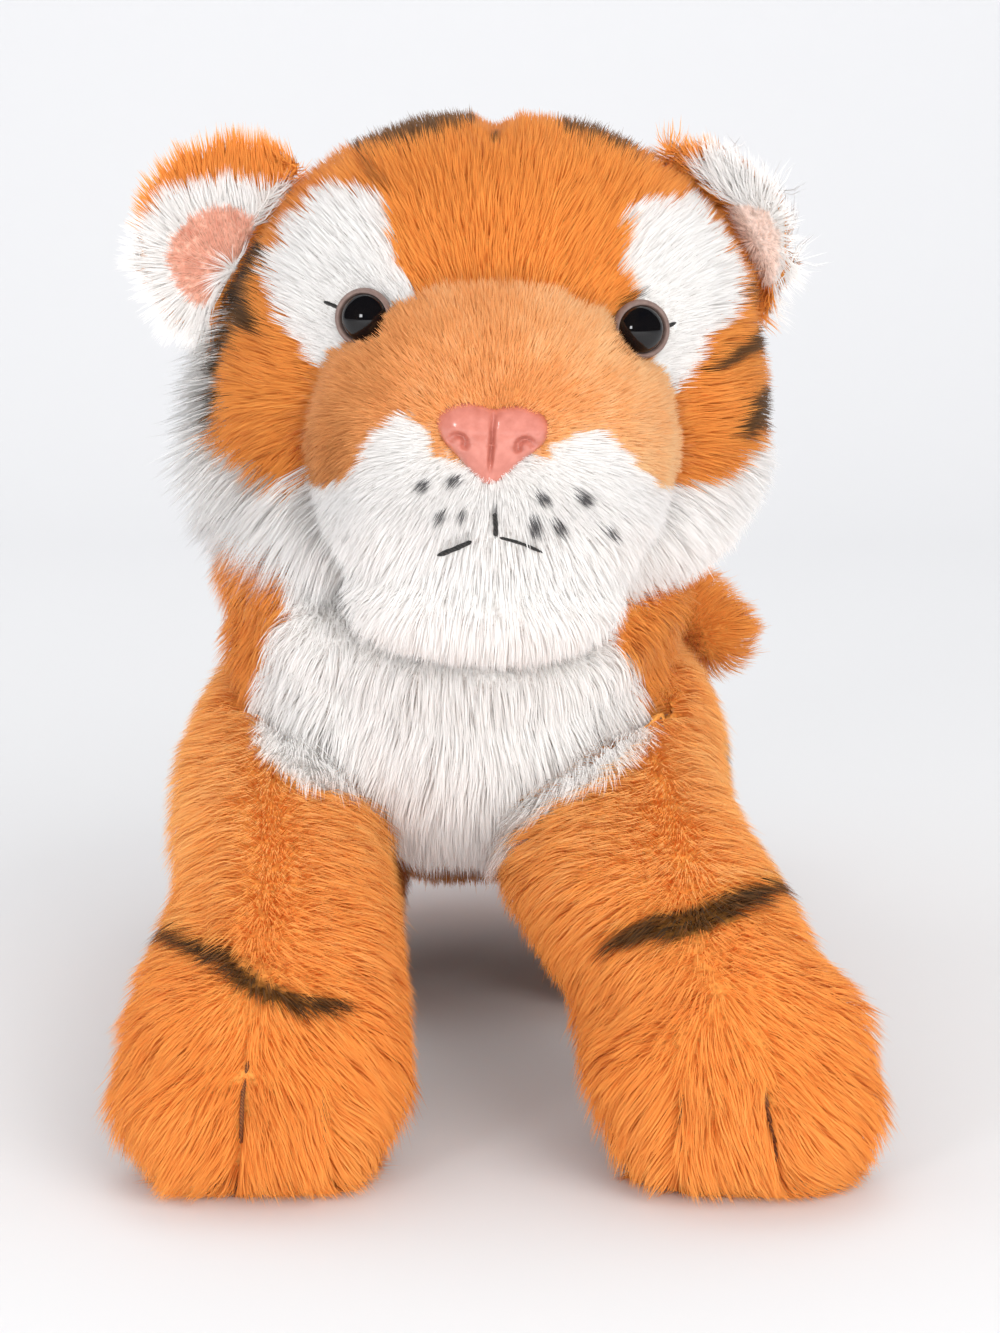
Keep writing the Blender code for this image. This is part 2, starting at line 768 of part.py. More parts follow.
# Torso
torso_cavity = add("torso_cavity", torso_form.mesh("torso_cavity", -SKIN, CAVITY_FACETS))
sockets = [limb.socket for limb in limbs]
belly_place = (
    Matrix.Translation(chest)
    @ Matrix.Rotation(-CHEST_PANEL_PITCH, 4, "X")
    @ Matrix.Translation((0, CHEST_PANEL_REACH, 0))
    @ FRONT_VIEW
)
belly_depth = CHEST_PANEL_REACH + CHEST_FRONT + OVERRUN
chest_outline = smoothed(scaled(CHEST_OUTLINE_SHARES, CHEST_WIDTH, CHEST_DEPTH))
chest_prism = prism("chest_panel_prism", chest_outline, belly_place, belly_depth)
chest_hole = prism(
    "chest_panel_hole",
    widened(chest_outline, CLEARANCE),
    Matrix.Translation(Y_AXIS * CLEARANCE) @ belly_place,
    belly_depth + OVERRUN,
)
torso_skin = add("torso_skin", torso_form.mesh("torso_skin"), "orange_plush")
boolean(torso_skin, [torso_cavity, *sockets, *head_seats, chest_hole])
chest_panel = add("chest_panel", torso_form.mesh("chest_panel"), "white_plush")
boolean(chest_panel, [torso_cavity, *sockets, *head_seats])
boolean(chest_panel, [chest_prism], "INTERSECT")
torso_stuffing = add(
    "torso_stuffing",
    torso_form.mesh("torso_stuffing", -SKIN - CLEARANCE, CAVITY_FACETS),
    "stuffing",
)
boolean(torso_stuffing, [*sockets, *head_seats])

# Legs and tail: each is a ball at its root, and clears the torso as far as it turns
floor_block = block(
    "floor_cutter",
    Vector((-FLOOR_REACH, -FLOOR_REACH, -OVERRUN)),
    Vector((FLOOR_REACH, FLOOR_REACH, SOLE_CUT)),
)
for limb in limbs:
    name, form = limb.name, limb.form
    around = add(f"torso_round_{name}", torso_form.mesh(f"torso_round_{name}", CLEARANCE))
    hollow = ball(f"{name}_ball", limb.root, limb.hollow_radius)
    fixed(boolean(around, [hollow]))
    clear = copies_at(around, limb.root, limb.axis, [-angle for angle in limb.towards_torso])
    inner = form.with_root_moved(SKIN + OPENING_REACH)
    cavity = add(f"{name}_cavity", inner.mesh(f"{name}_cavity", -SKIN, CAVITY_FACETS))
    inside = add(f"{name}_inside", form.mesh(f"{name}_inside", -CLEARANCE))
    skin = add(f"{name}_skin", form.mesh(f"{name}_skin"), "orange_plush")
    boolean(skin, [cavity, *clear, floor_block])
    filling = inner.mesh(f"{name}_stuffing", -SKIN - CLEARANCE, CAVITY_FACETS)
    stuffing = add(f"{name}_stuffing", filling, "stuffing")
    boolean(stuffing, [inside], "INTERSECT")
    boolean(stuffing, clear)

# Toe threads, two over the front of each paw
for paw_name, form in paws:
    tree = surface([(form.mesh("paw_surface"), Matrix())])
    paw, width, depth = form.centres[-1], form.widths[-1], form.depths[-1]
    for number, share in enumerate((-TOE_SPREAD_SHARE / 2, TOE_SPREAD_SHARE / 2)):
        x = paw.x + share * width
        places = between((x, TOE_TOP_SHARE * depth), (x, TOE_FOOT_SHARE * depth), TOE_STEPS)
        stitched(
            f"toe_thread_{paw_name}_{number + 1}",
            tree,
            places,
            paw.y - depth - OVERRUN,
            TOE_THREAD_RADIUS,
            "brown_thread",
            Matrix(),
        )

# Where the eyes and the nose sit
head_tree = surface([(head_form.mesh("head_surface"), Matrix())])
muzzle_tree = surface([(muzzle_form.mesh("muzzle_surface"), Matrix())])


def hardware(name, seat_radius, skin, place):
    """The cutter for a shank's seat, hole and washer, with Z outwards from the seat."""
    hole = SHANK_RADIUS + CLEARANCE
    washer = WASHER_RADIUS + CLEARANCE
    behind = skin + 2 * CLEARANCE + WASHER_THICKNESS
    end = behind + SHANK_END + CLEARANCE
    profile = [
        (0, OVERRUN),
        (seat_radius, OVERRUN),
        (seat_radius, 0),
        (hole, 0),
        (hole, -skin),
        (washer, -skin),
        (washer, -behind),
        (hole, -behind),
        (hole, -end),
        (0, -end),
    ]
    return turned(name, profile, place=place)


def well(name, skin, place):
    """The cutter that makes room in the stuffing for a shank and its washer."""
    hole = SHANK_RADIUS + CLEARANCE
    washer = WASHER_RADIUS + CLEARANCE
    behind = skin + 2 * CLEARANCE + WASHER_THICKNESS
    end = behind + SHANK_END + CLEARANCE
    profile = [(0, OVERRUN), (washer, OVERRUN), (washer, -behind), (hole, -behind), (hole, -end)]
    return turned(name, [*profile, (0, -end)], place=place)


def washer(name, skin, place):
    """The lock washer that grips a shank behind the fabric."""
    top = -skin - CLEARANCE
    bottom = top - WASHER_THICKNESS
    bore = SHANK_RADIUS + CLEARANCE
    profile = [(bore, top), (WASHER_RADIUS, top), (WASHER_RADIUS, bottom), (bore, bottom)]
    return turned(name, profile, "washer_white", place)


def shank_end(skin):
    """How far down a shank reaches."""
    return -skin - 2 * CLEARANCE - WASHER_THICKNESS - SHANK_END


eye_skin = SKIN - EYE_SINK
eye_cutters = []
eye_wells = []
for side_name, side in (("left", 1), ("right", -1)):
    point, normal = looked_at(head_tree, side * EYE_SPACING / 2, EYE_RISE, head_front_y)
    axis = (-Y_AXIS).lerp(normal, EYE_OUTWARD).normalized()
    place = head_place @ seated(point - axis * EYE_SINK, axis)
    eye_cutters.append(hardware(f"eye_{side_name}_cutter", RIM_RADIUS + CLEARANCE, eye_skin, place))
    eye_wells.append(well(f"eye_{side_name}_well", eye_skin, place))
    rim_top = CLEARANCE + RIM_THICKNESS
    edge = RIM_THICKNESS / 3
    bore = SHANK_RADIUS + CLEARANCE
    rim = [
        (bore, rim_top),
        (RIM_RADIUS - edge, rim_top),
        (RIM_RADIUS, rim_top - edge),
        (RIM_RADIUS, CLEARANCE),
        (bore, CLEARANCE),
    ]
    turned(f"eye_rim_{side_name}", rim, "rim_brown", place)
    base = rim_top + CLEARANCE
    arc = [math.radians(90) * step / 6 for step in range(7)]
    dome = [
        (EYE_RADIUS * math.sin(turn), base + EYE_BASE + EYE_BULGE * math.cos(turn)) for turn in arc
    ]
    foot = shank_end(eye_skin)
    dome += [(EYE_RADIUS, base), (SHANK_RADIUS, base), (SHANK_RADIUS, foot), (0, foot)]
    turned(f"eye_{side_name}", dome, "eye_black", place)
    washer(f"eye_washer_{side_name}", eye_skin, place)
    start = side * (EYE_SPACING / 2 + RIM_RADIUS + EYE_THREAD_START)
    stroke = between((start, EYE_RISE), (start + side * EYE_THREAD_LENGTH, EYE_RISE), 2)
    stitched(
        f"eye_thread_{side_name}",
        head_tree,
        stroke,
        head_front_y,
        THREAD_RADIUS,
        "black_thread",
        head_place,
    )


def nose_mesh(name, grow):
    """A dome whose outline is a rounded triangle, wide at the top, with Z outwards."""
    shape = bmesh.new()
    bmesh.ops.create_uvsphere(shape, u_segments=ROUND_FACETS, v_segments=12, radius=1.0)
    for vertex in shape.verts:
        x, y, z = vertex.co
        lift = (y + 1) / 2
        taper = NOSE_CHIN_SHARE + (1 - NOSE_CHIN_SHARE) * lift * (2 - lift)
        bulge = NOSE_BULGE if z > 0 else NOSE_BACK
        vertex.co = (
            x * (NOSE_WIDTH / 2 * taper + grow),
            y * (NOSE_HEIGHT / 2 + grow),
            z * (bulge + grow),
        )
    return finished(shape, name)


nose_rise = muzzle_front.z + NOSE_RISE
point, normal = looked_at(muzzle_tree, 0, nose_rise, head_front_y)
nose_axis = (-Y_AXIS).lerp(normal, NOSE_UPWARD).normalized()
nose_place = head_place @ seated(point, nose_axis)
nose_centre = nose_place @ Matrix.Translation((0, 0, -NOSE_SINK))
nose = add("nose", nose_mesh("nose", 0), "nose_pink", nose_centre)
foot = shank_end(MUZZLE_SKIN)
shank = turned(
    "nose_shank",
    [(0, -NOSE_SINK), (SHANK_RADIUS, -NOSE_SINK), (SHANK_RADIUS, foot), (0, foot)],
    place=nose_place,
)
boolean(nose, [shank], "UNION")
washer("nose_washer", MUZZLE_SKIN, nose_place)
nose_seat = add("nose_seat", nose_mesh("nose_seat", 2 * CLEARANCE), place=nose_centre)
bore = SHANK_RADIUS + CLEARANCE
deep = MUZZLE_SKIN + 2 * CLEARANCE + WASHER_THICKNESS
nose_bore = turned(
    "nose_bore",
    [
        (0, -NOSE_SINK),
        (bore, -NOSE_SINK),
        (bore, -MUZZLE_SKIN),
        (WASHER_RADIUS + CLEARANCE, -MUZZLE_SKIN),
        (WASHER_RADIUS + CLEARANCE, -deep),
        (bore, -deep),
        (bore, foot - CLEARANCE),
        (0, foot - CLEARANCE),
    ],
    place=nose_place,
)
nose_cutters = [nose_seat, nose_bore]
nose_well = well("nose_well", MUZZLE_SKIN, nose_place)

# Head
head_cavity = add(
    "head_cavity", head_form.mesh("head_cavity", -SKIN, CAVITY_FACETS), place=head_place
)
neck_hole = turned(
    "neck_hole",
    [(0, HEAD_LOWER), (NECK_OPENING, HEAD_LOWER), (NECK_OPENING, -OVERRUN), (0, -OVERRUN)],
    place=head_place,
)
cheek_outline = smoothed(scaled(CHEEK_OUTLINE_SHARES, HEAD_DEPTH, head_height))
cheek_place = head_place @ Matrix.Translation((-HEAD_WIDTH, 0, 0)) @ SIDE_VIEW
cheek_prism = prism("cheek_panel_prism", cheek_outline, cheek_place, HEAD_WIDTH * 2)
cheek_hole = prism(
    "cheek_panel_hole", widened(cheek_outline, CLEARANCE), cheek_place, HEAD_WIDTH * 2
)
patch_place = head_place @ Matrix.Translation((0, PATCH_DEPTH - HEAD_DEPTH / 2, 0)) @ FRONT_VIEW
patches = {}
for side_name, side in (("left", 1), ("right", -1)):
    outline = smoothed(
        [Vector((side * x * HEAD_WIDTH, y * head_height)) for x, y in PATCH_OUTLINE_SHARES]
    )
    name = f"eye_patch_{side_name}"
    patches[name] = (
        prism(f"{name}_prism", outline, patch_place, PATCH_DEPTH + OVERRUN),
        prism(f"{name}_hole", widened(outline, CLEARANCE), patch_place, PATCH_DEPTH + OVERRUN),
    )
holes = [hole for _, hole in patches.values()]
head_skin = add("head_skin", head_form.mesh("head_skin"), "orange_plush", head_place)
boolean(head_skin, [head_cavity, *eye_cutters, neck_hole, cheek_hole, *holes])
cheek_panel = add("cheek_panel", head_form.mesh("cheek_panel"), "white_plush", head_place)
boolean(cheek_panel, [head_cavity, neck_hole])
boolean(cheek_panel, [cheek_prism], "INTERSECT")
for name, (patch_prism, _) in patches.items():
    patch = add(name, head_form.mesh(name), "white_plush", head_place)
    boolean(patch, [head_cavity, *eye_cutters, cheek_hole])
    boolean(patch, [patch_prism], "INTERSECT")

head_inside = add("head_inside", head_form.mesh("head_inside", -CLEARANCE), place=head_place)
neck_plug = turned(
    "neck_plug",
    [
        (0, HEAD_LOWER),
        (NECK_OPENING - CLEARANCE, HEAD_LOWER),
        (NECK_OPENING - CLEARANCE, -OVERRUN),
        (0, -OVERRUN),
    ],
    place=head_place,
)
fixed(boolean(neck_plug, [head_inside], "INTERSECT"))
head_stuffing = add(
    "head_stuffing",
    head_form.mesh("head_stuffing", -SKIN - CLEARANCE, CAVITY_FACETS),
    "stuffing",
    head_place,
)
boolean(head_stuffing, [neck_plug], "UNION")
boolean(head_stuffing, eye_wells)

# Muzzle and chin
muzzle_cavity = add(
    "muzzle_cavity", muzzle_form.mesh("muzzle_cavity", -MUZZLE_SKIN, CAVITY_FACETS), place=head_place
)
muzzle_outline = smoothed(
    scaled(MUZZLE_OUTLINE_SHARES, MUZZLE_WIDTH, MUZZLE_TIP_DEPTH, nose_rise)
)
muzzle_length = MUZZLE_ROOT_Y + MUZZLE_LENGTH + MUZZLE_NOSE_END + OVERRUN
muzzle_place = head_place @ FRONT_VIEW
muzzle_prism = prism("muzzle_lower_prism", muzzle_outline, muzzle_place, muzzle_length)
muzzle_hole = prism(
    "muzzle_lower_hole", widened(muzzle_outline, CLEARANCE), muzzle_place, muzzle_length
)
muzzle_cuts = [muzzle_cavity, head_cutter, *eye_cutters, *nose_cutters]
muzzle_upper = add("muzzle_upper", muzzle_form.mesh("muzzle_upper"), "tan_plush", head_place)
boolean(muzzle_upper, [*muzzle_cuts, muzzle_hole])
muzzle_lower = add("muzzle_lower", muzzle_form.mesh("muzzle_lower"), "white_plush", head_place)
boolean(muzzle_lower, muzzle_cuts)
boolean(muzzle_lower, [muzzle_prism], "INTERSECT")
muzzle_stuffing = add(
    "muzzle_stuffing",
    muzzle_form.mesh("muzzle_stuffing", -MUZZLE_SKIN - CLEARANCE, CAVITY_FACETS),
    "stuffing",
    head_place,
)
boolean(muzzle_stuffing, [head_cutter, *eye_cutters, nose_well])
chin = add("chin", ellipsoid("chin", chin_half, MUZZLE_FACETS), "white_plush", chin_place)
boolean(chin, [head_cutter, muzzle_cutter])

mouth_z = nose_rise
strokes = {
    "centre": ((0, mouth_z - MOUTH_TOP), (0, mouth_z - MOUTH_FORK + MOUTH_GAP), 3),
    "left": ((MOUTH_GAP, mouth_z - MOUTH_FORK), (MOUTH_REACH, mouth_z - MOUTH_CORNER), 4),
    "right": ((-MOUTH_GAP, mouth_z - MOUTH_FORK), (-MOUTH_REACH, mouth_z - MOUTH_CORNER), 4),
}
for name, (start, end, steps) in strokes.items():
    stitched(
        f"mouth_thread_{name}",
        muzzle_tree,
        between(start, end, steps),
        head_front_y,
        THREAD_RADIUS,
        "black_thread",
        head_place,
    )


def dished_disc(name, share, back_rise, front_rise, lift):
    """A disc in the local XY plane that bends towards its front, +Z, at its rim."""
    shape = bmesh.new()
    sides, rings = EAR_FACETS
    bmesh.ops.create_uvsphere(shape, u_segments=sides, v_segments=rings, radius=1.0)
    for vertex in shape.verts:
        x, y, z = vertex.co
        rise = front_rise if z > 0 else back_rise
        bend = EAR_DISH * share**2 * (x * x + y * y)
        vertex.co = (
            x * share * EAR_LENGTH / 2,
            y * share * EAR_HEIGHT / 2,
            z * rise + bend + lift,
        )
    return finished(shape, name)


def oval(name, grow, place):
    """The cutter for an ear's inner patch."""
    shape = bmesh.new()
    bmesh.ops.create_cone(
        shape, cap_ends=True, segments=ROUND_FACETS, radius1=1, radius2=1, depth=2 * OVERRUN
    )
    half_length = EAR_LENGTH / 2 * EAR_PATCH_LENGTH_SHARE + grow
    half_height = EAR_HEIGHT / 2 * EAR_PATCH_HEIGHT_SHARE + grow
    bmesh.ops.scale(shape, vec=(half_length, half_height, 1), verts=shape.verts)
    rise = EAR_HEIGHT * EAR_PATCH_RISE_SHARE
    bmesh.ops.translate(shape, vec=(0, rise, 0), verts=shape.verts)
    return add(name, finished(shape, name), place=place)


# Ears: an orange back, a white lining and a pink patch in it
ears = {}
for index, (side_name, side) in enumerate((("left", 1), ("right", -1))):
    lean = EAR_LEANS[index]
    outward = Vector((side * math.sin(lean), 0, math.cos(lean)))
    edge = outward.cross(-Y_AXIS)
    base = head_tree.ray_cast(Vector((0, EAR_BACKWARD, EAR_AIM)), outward)[0]
    frame = Matrix((edge, outward, -Y_AXIS)).transposed().to_4x4()
    place = (
        head_place
        @ Matrix.Translation(base)
        @ frame
        @ Matrix.Rotation(EAR_SWINGS[index], 4, "X")
        @ Matrix.Translation((0, EAR_ROOTS[index], 0))
    )
    hinge = head_place @ base
    hinge_axis = (head_place.to_3x3() @ edge).normalized()
    ears[side_name] = (hinge, hinge_axis)
    angles = [-angle for angle in EAR_LIMITS]
    near = add(f"head_at_ear_{side_name}", head_cutter.data.copy(), place=head_place)
    clear = copies_at(near, hinge, hinge_axis, angles)
    back_name = f"ear_back_{side_name}"
    back = add(back_name, dished_disc(back_name, 1, EAR_BACK_RISE, 0, 0), "orange_plush", place)
    boolean(back, clear)
    lining_sizes = (EAR_LINING_SHARE, 0, EAR_LINING_RISE, 2 * CLEARANCE)
    patch_cut = oval(f"ear_patch_{side_name}_oval", 0, place)
    patch_hole = oval(f"ear_patch_{side_name}_hole", CLEARANCE, place)
    for name, finish in (("lining", "white_plush"), ("patch", "pink_plush")):
        full = f"ear_{name}_{side_name}"
        piece = add(full, dished_disc(full, *lining_sizes), finish, place)
        boolean(piece, clear)
        if name == "lining":
            boolean(piece, [patch_hole])
        else:
            boolean(piece, [patch_cut], "INTERSECT")

# The origin goes under the middle of the toy, on the floor
outermost = [obj for obj in parts.objects if obj.name.endswith("_skin")]
outermost += [parts.objects[f"ear_back_{side_name}"] for side_name in ears]
corners = [obj.matrix_basis @ vertex.co for obj in outermost for vertex in obj.data.vertices]
middle_x = (min(corner.x for corner in corners) + max(corner.x for corner in corners)) / 2
middle_y = (min(corner.y for corner in corners) + max(corner.y for corner in corners)) / 2
toy.location = (-middle_x, -middle_y, -SOLE_CUT)
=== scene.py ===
import math

import bmesh
import bpy
import numpy as np
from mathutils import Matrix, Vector
from mathutils.bvhtree import BVHTree
from mathutils.kdtree import KDTree


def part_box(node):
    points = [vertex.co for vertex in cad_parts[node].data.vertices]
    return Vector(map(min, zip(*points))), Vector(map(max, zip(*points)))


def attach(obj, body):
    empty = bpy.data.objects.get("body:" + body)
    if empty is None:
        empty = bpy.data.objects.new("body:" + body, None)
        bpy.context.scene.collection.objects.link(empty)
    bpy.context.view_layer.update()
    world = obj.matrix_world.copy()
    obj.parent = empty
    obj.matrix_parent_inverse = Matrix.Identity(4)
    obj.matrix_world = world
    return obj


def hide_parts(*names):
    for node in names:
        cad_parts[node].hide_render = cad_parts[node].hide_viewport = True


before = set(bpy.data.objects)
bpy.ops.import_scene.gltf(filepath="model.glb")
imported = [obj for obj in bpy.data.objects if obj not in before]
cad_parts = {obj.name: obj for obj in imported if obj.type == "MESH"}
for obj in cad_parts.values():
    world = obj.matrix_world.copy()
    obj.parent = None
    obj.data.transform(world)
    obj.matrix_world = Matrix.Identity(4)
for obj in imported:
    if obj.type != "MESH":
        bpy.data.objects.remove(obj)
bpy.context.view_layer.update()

# The toy stands on z = 0 and faces -y; its own left is +x. Lengths are in metres.
MM = 0.001
UP = np.array((0.0, 0.0, 1.0))
SIDES = ("left", "right")

# The photograph's pixels are read on a frame of 1000 x 1333 by this level mapping.
VIEW_X = 0.00246
VIEW_Y = 0.8059
VIEW_Z = 0.2225
VIEW_PIXELS = 3191.0
MIDDLE_X = 500.0
MIDDLE_Y = 122.0

DENSITY = 2.42e6
STRAND_WIDTH = 0.25 * MM


def pixels_of(points):
    """Where points fall on the photograph's frame."""
    reach = (points[:, 1] + VIEW_Y) / VIEW_PIXELS
    across = MIDDLE_X + (points[:, 0] - VIEW_X) / reach
    down = MIDDLE_Y + (VIEW_Z - points[:, 2]) / reach
    return np.stack((across, down), 1)


def place_of(pixel, y):
    """The point at this depth that falls on a pixel."""
    reach = (y + VIEW_Y) / VIEW_PIXELS
    across = (pixel[0] - MIDDLE_X) * reach
    down = (pixel[1] - MIDDLE_Y) * reach
    return Vector((VIEW_X + across, y, VIEW_Z - down))


def inside_outline(spots, outline):
    """Which spots lie inside a closed outline."""
    found = np.zeros(len(spots), bool)
    x, y = spots[:, 0], spots[:, 1]
    for (x0, y0), (x1, y1) in zip(outline, outline[1:] + outline[:1]):
        crosses = (y0 > y) != (y1 > y)
        with np.errstate(divide="ignore", invalid="ignore"):
            at = (x1 - x0) * (y - y0) / (y1 - y0) + x0
        found ^= crosses & (x < at)
    return found


def line_distance(spots, line):
    """The distance from each spot to a line of points, and how far along it that is, 0 to 1."""
    best = np.full(len(spots), np.inf)
    along = np.zeros(len(spots))
    ends = np.asarray(line, float)
    lengths = np.linalg.norm(np.diff(ends, axis=0), axis=1)
    passed = 0.0
    for start, end, length in zip(ends[:-1], ends[1:], lengths):
        part = np.clip((spots - start) @ (end - start) / length**2, 0, 1)
        gap = np.linalg.norm(spots - start - part[:, None] * (end - start), axis=1)
        nearer = gap < best
        best = np.where(nearer, gap, best)
        along = np.where(nearer, (passed + part * length) / lengths.sum(), along)
        passed += length
    return best, along


def unit(vectors):
    return vectors / np.maximum(np.linalg.norm(vectors, axis=-1, keepdims=True), 1e-9)


def smoothstep(low, high, value):
    t = np.clip((value - low) / (high - low), 0, 1)
    return t * t * (3 - 2 * t)


def hump(value, middle, half):
    """1 at the middle, fading to 0 on both sides of it."""
    return np.exp(-(((value - middle) / half) ** 2))


def lattice(x, y, z, seed):
    """A random number from -1 to 1 for each cell, by a common integer hash."""
    h = x.astype(np.uint32) * np.uint32(374761393)
    h += y.astype(np.uint32) * np.uint32(668265263)
    h += z.astype(np.uint32) * np.uint32(2246822519)
    h += np.uint32((seed * 3266489917) & 0xFFFFFFFF)
    h ^= h >> np.uint32(15)
    h *= np.uint32(2654435761)
    h ^= h >> np.uint32(13)
    h *= np.uint32(1274126177)
    h ^= h >> np.uint32(16)
    return h.astype(np.float64) / 2147483648.0 - 1.0


def noise(points, scale, seed):
    """Smooth noise from -1 to 1 with features of this size."""
    p = points / scale + 1000.0
    cell = np.floor(p).astype(np.int64)
    f = p - cell
    f = f * f * (3 - 2 * f)
    total = np.zeros(len(points))
    for i in (0, 1):
        for j in (0, 1):
            for k in (0, 1):
                weight = (
                    (f[:, 0] if i else 1 - f[:, 0])
                    * (f[:, 1] if j else 1 - f[:, 1])
                    * (f[:, 2] if k else 1 - f[:, 2])
                )
                total += weight * lattice(cell[:, 0] + i, cell[:, 1] + j, cell[:, 2] + k, seed)
    return total


def noise_vectors(points, scale, seed):
    return np.stack([noise(points, scale, seed + k) for k in range(3)], 1)


def mesh_arrays(mesh):
    mesh.calc_loop_triangles()
    points = np.empty(len(mesh.vertices) * 3)
    mesh.vertices.foreach_get("co", points)
    faces = np.empty(len(mesh.loop_triangles) * 3, np.int32)
    mesh.loop_triangles.foreach_get("vertices", faces)
    return points.reshape(-1, 3), faces.reshape(-1, 3)


def node_arrays(names):
    points, faces, count = [], [], 0
    for name in names:
        p, f = mesh_arrays(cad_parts[name].data)
        points.append(p)
        faces.append(f + count)
        count += len(p)
    return np.concatenate(points), np.concatenate(faces)


def new_object(name, mesh):
    obj = bpy.data.objects.new(name, mesh)
    bpy.context.scene.collection.objects.link(obj)
    return obj


def object_of(name, points, faces):
    mesh = bpy.data.meshes.new(name)
    mesh.from_pydata([tuple(p) for p in points], [], [tuple(int(i) for i in f) for f in faces])
    mesh.update()
    return new_object(name, mesh)


def object_from(name, bm):
    mesh = bpy.data.meshes.new(name)
    bm.to_mesh(mesh)
    bm.free()
    return new_object(name, mesh)


def shade_smooth(obj, most_sides=math.inf):
    """Smooth shading on the faces with no more sides than this."""
    for polygon in obj.data.polygons:
        polygon.use_smooth = len(polygon.vertices) <= most_sides


def apply_modifiers(obj):
    graph = bpy.context.evaluated_depsgraph_get()
    graph.update()
    mesh = bpy.data.meshes.new_from_object(obj.evaluated_get(graph), depsgraph=graph)
    old = obj.data
    obj.modifiers.clear()
    obj.data = mesh
    bpy.data.meshes.remove(old)
    mesh.name = obj.name


def relax(obj, rounds):
    """Smooths the object's form, after any modifiers that it already has."""
    smooth = obj.modifiers.new("smooth", "SMOOTH")
    smooth.factor = 0.5
    smooth.iterations = rounds
    apply_modifiers(obj)


def vertex_normals(points, faces):
    a, b, c = (points[faces[:, k]] for k in range(3))
    flat = np.cross(b - a, c - a)
    total = np.zeros_like(points)
    for k in range(3):
        np.add.at(total, faces[:, k], flat)
    return unit(total)


def keep_largest(obj):
    """Leaves only the piece of the mesh with the most vertices."""
    points, faces = mesh_arrays(obj.data)
    label = np.arange(len(points))
    while True:
        low = label[faces].min(1)
        new = label.copy()
        for k in range(3):
            np.minimum.at(new, faces[:, k], low)
        new = new[new]
        if (new == label).all():
            break
        label = new
    names, counts = np.unique(label, return_counts=True)
    keep = label == names[counts.argmax()]
    if keep.all():
        return
    bm = bmesh.new()
    bm.from_mesh(obj.data)
    bm.verts.ensure_lookup_table()
    bmesh.ops.delete(bm, geom=[bm.verts[i] for i in np.flatnonzero(~keep)], context="VERTS")
    bm.to_mesh(obj.data)
    bm.free()


def pelt_of(name, nodes, voxel, rounds):
    """One smooth closed hide round these CAD nodes."""
    obj = object_of(name, *node_arrays(nodes))
    remesh = obj.modifiers.new("remesh", "REMESH")
    remesh.mode = "VOXEL"
    remesh.voxel_size = voxel
    relax(obj, rounds)
    keep_largest(obj)
    relax(obj, 4)
    return obj


def tree_of(points, faces):
    corners = [tuple(int(i) for i in face) for face in faces]
    return BVHTree.FromPolygons([tuple(p) for p in points], corners)


def curve_point(p0, p1, p2, p3, t):
    """A point between p1 and p2 on the smooth curve through all four."""
    return 0.5 * (
        2 * p1
        + (p2 - p0) * t
        + (2 * p0 - 5 * p1 + 4 * p2 - p3) * t * t
        + (3 * p1 - p0 - 3 * p2 + p3) * t**3
    )


def wear(obj, material, body, node):
    """Gives a finished piece its material and body, and hides the node it stands for."""
    obj.data.materials.append(material)
    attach(obj, body)
    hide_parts(node)


def shader(name):
    material = bpy.data.materials.new(name)
    material.use_nodes = True
    tree = material.node_tree
    tree.nodes.clear()
    out = tree.nodes.new("ShaderNodeOutputMaterial")
    return material, tree, out


def node_of(tree, kind, **values):
    """A new shader node; values set its inputs, with _ for a space."""
    node = tree.nodes.new("ShaderNode" + kind)
    for name, value in values.items():
        node.inputs[name.replace("_", " ")].default_value = value
    return node


def texture(tree, kind, **values):
    """A texture that is laid over the object's own coordinates."""
    node = node_of(tree, kind, **values)
    place = node_of(tree, "TexCoord")
    tree.links.new(place.outputs["Object"], node.inputs["Vector"])
    return node


def ramp_node(tree, stops, source):
    ramp = tree.nodes.new("ShaderNodeValToRGB")
    ramp.color_ramp.interpolation = "LINEAR"
    elements = ramp.color_ramp.elements
    while len(elements) > 1:
        elements.remove(elements[-1])
    elements[0].position = stops[0][0]
    elements[0].color = (*stops[0][1], 1.0)
    for place, colour in stops[1:]:
        elements.new(place).color = (*colour, 1.0)
    tree.links.new(source, ramp.inputs["Fac"])
    return ramp.outputs["Color"]


def multiply(tree, a, b):
    mix = node_of(tree, "Mix")
    mix.data_type = "RGBA"
    mix.blend_type = "MULTIPLY"
    mix.inputs["Factor"].default_value = 1.0
    tree.links.new(a, mix.inputs[6])
    tree.links.new(b, mix.inputs[7])
    return mix.outputs[2]


def surface(tree, out, colour, bumps=None, **values):
    """A Principled surface; bumps are their source, strength and depth."""
    body = node_of(tree, "BsdfPrincipled", **values)
    tree.links.new(colour, body.inputs["Base Color"])
    if bumps:
        source, strength, depth = bumps
        bump = node_of(tree, "Bump", Strength=strength, Distance=depth)
        tree.links.new(source, bump.inputs["Height"])
        tree.links.new(bump.outputs[0], body.inputs["Normal"])
    tree.links.new(body.outputs[0], out.inputs["Surface"])
    return body


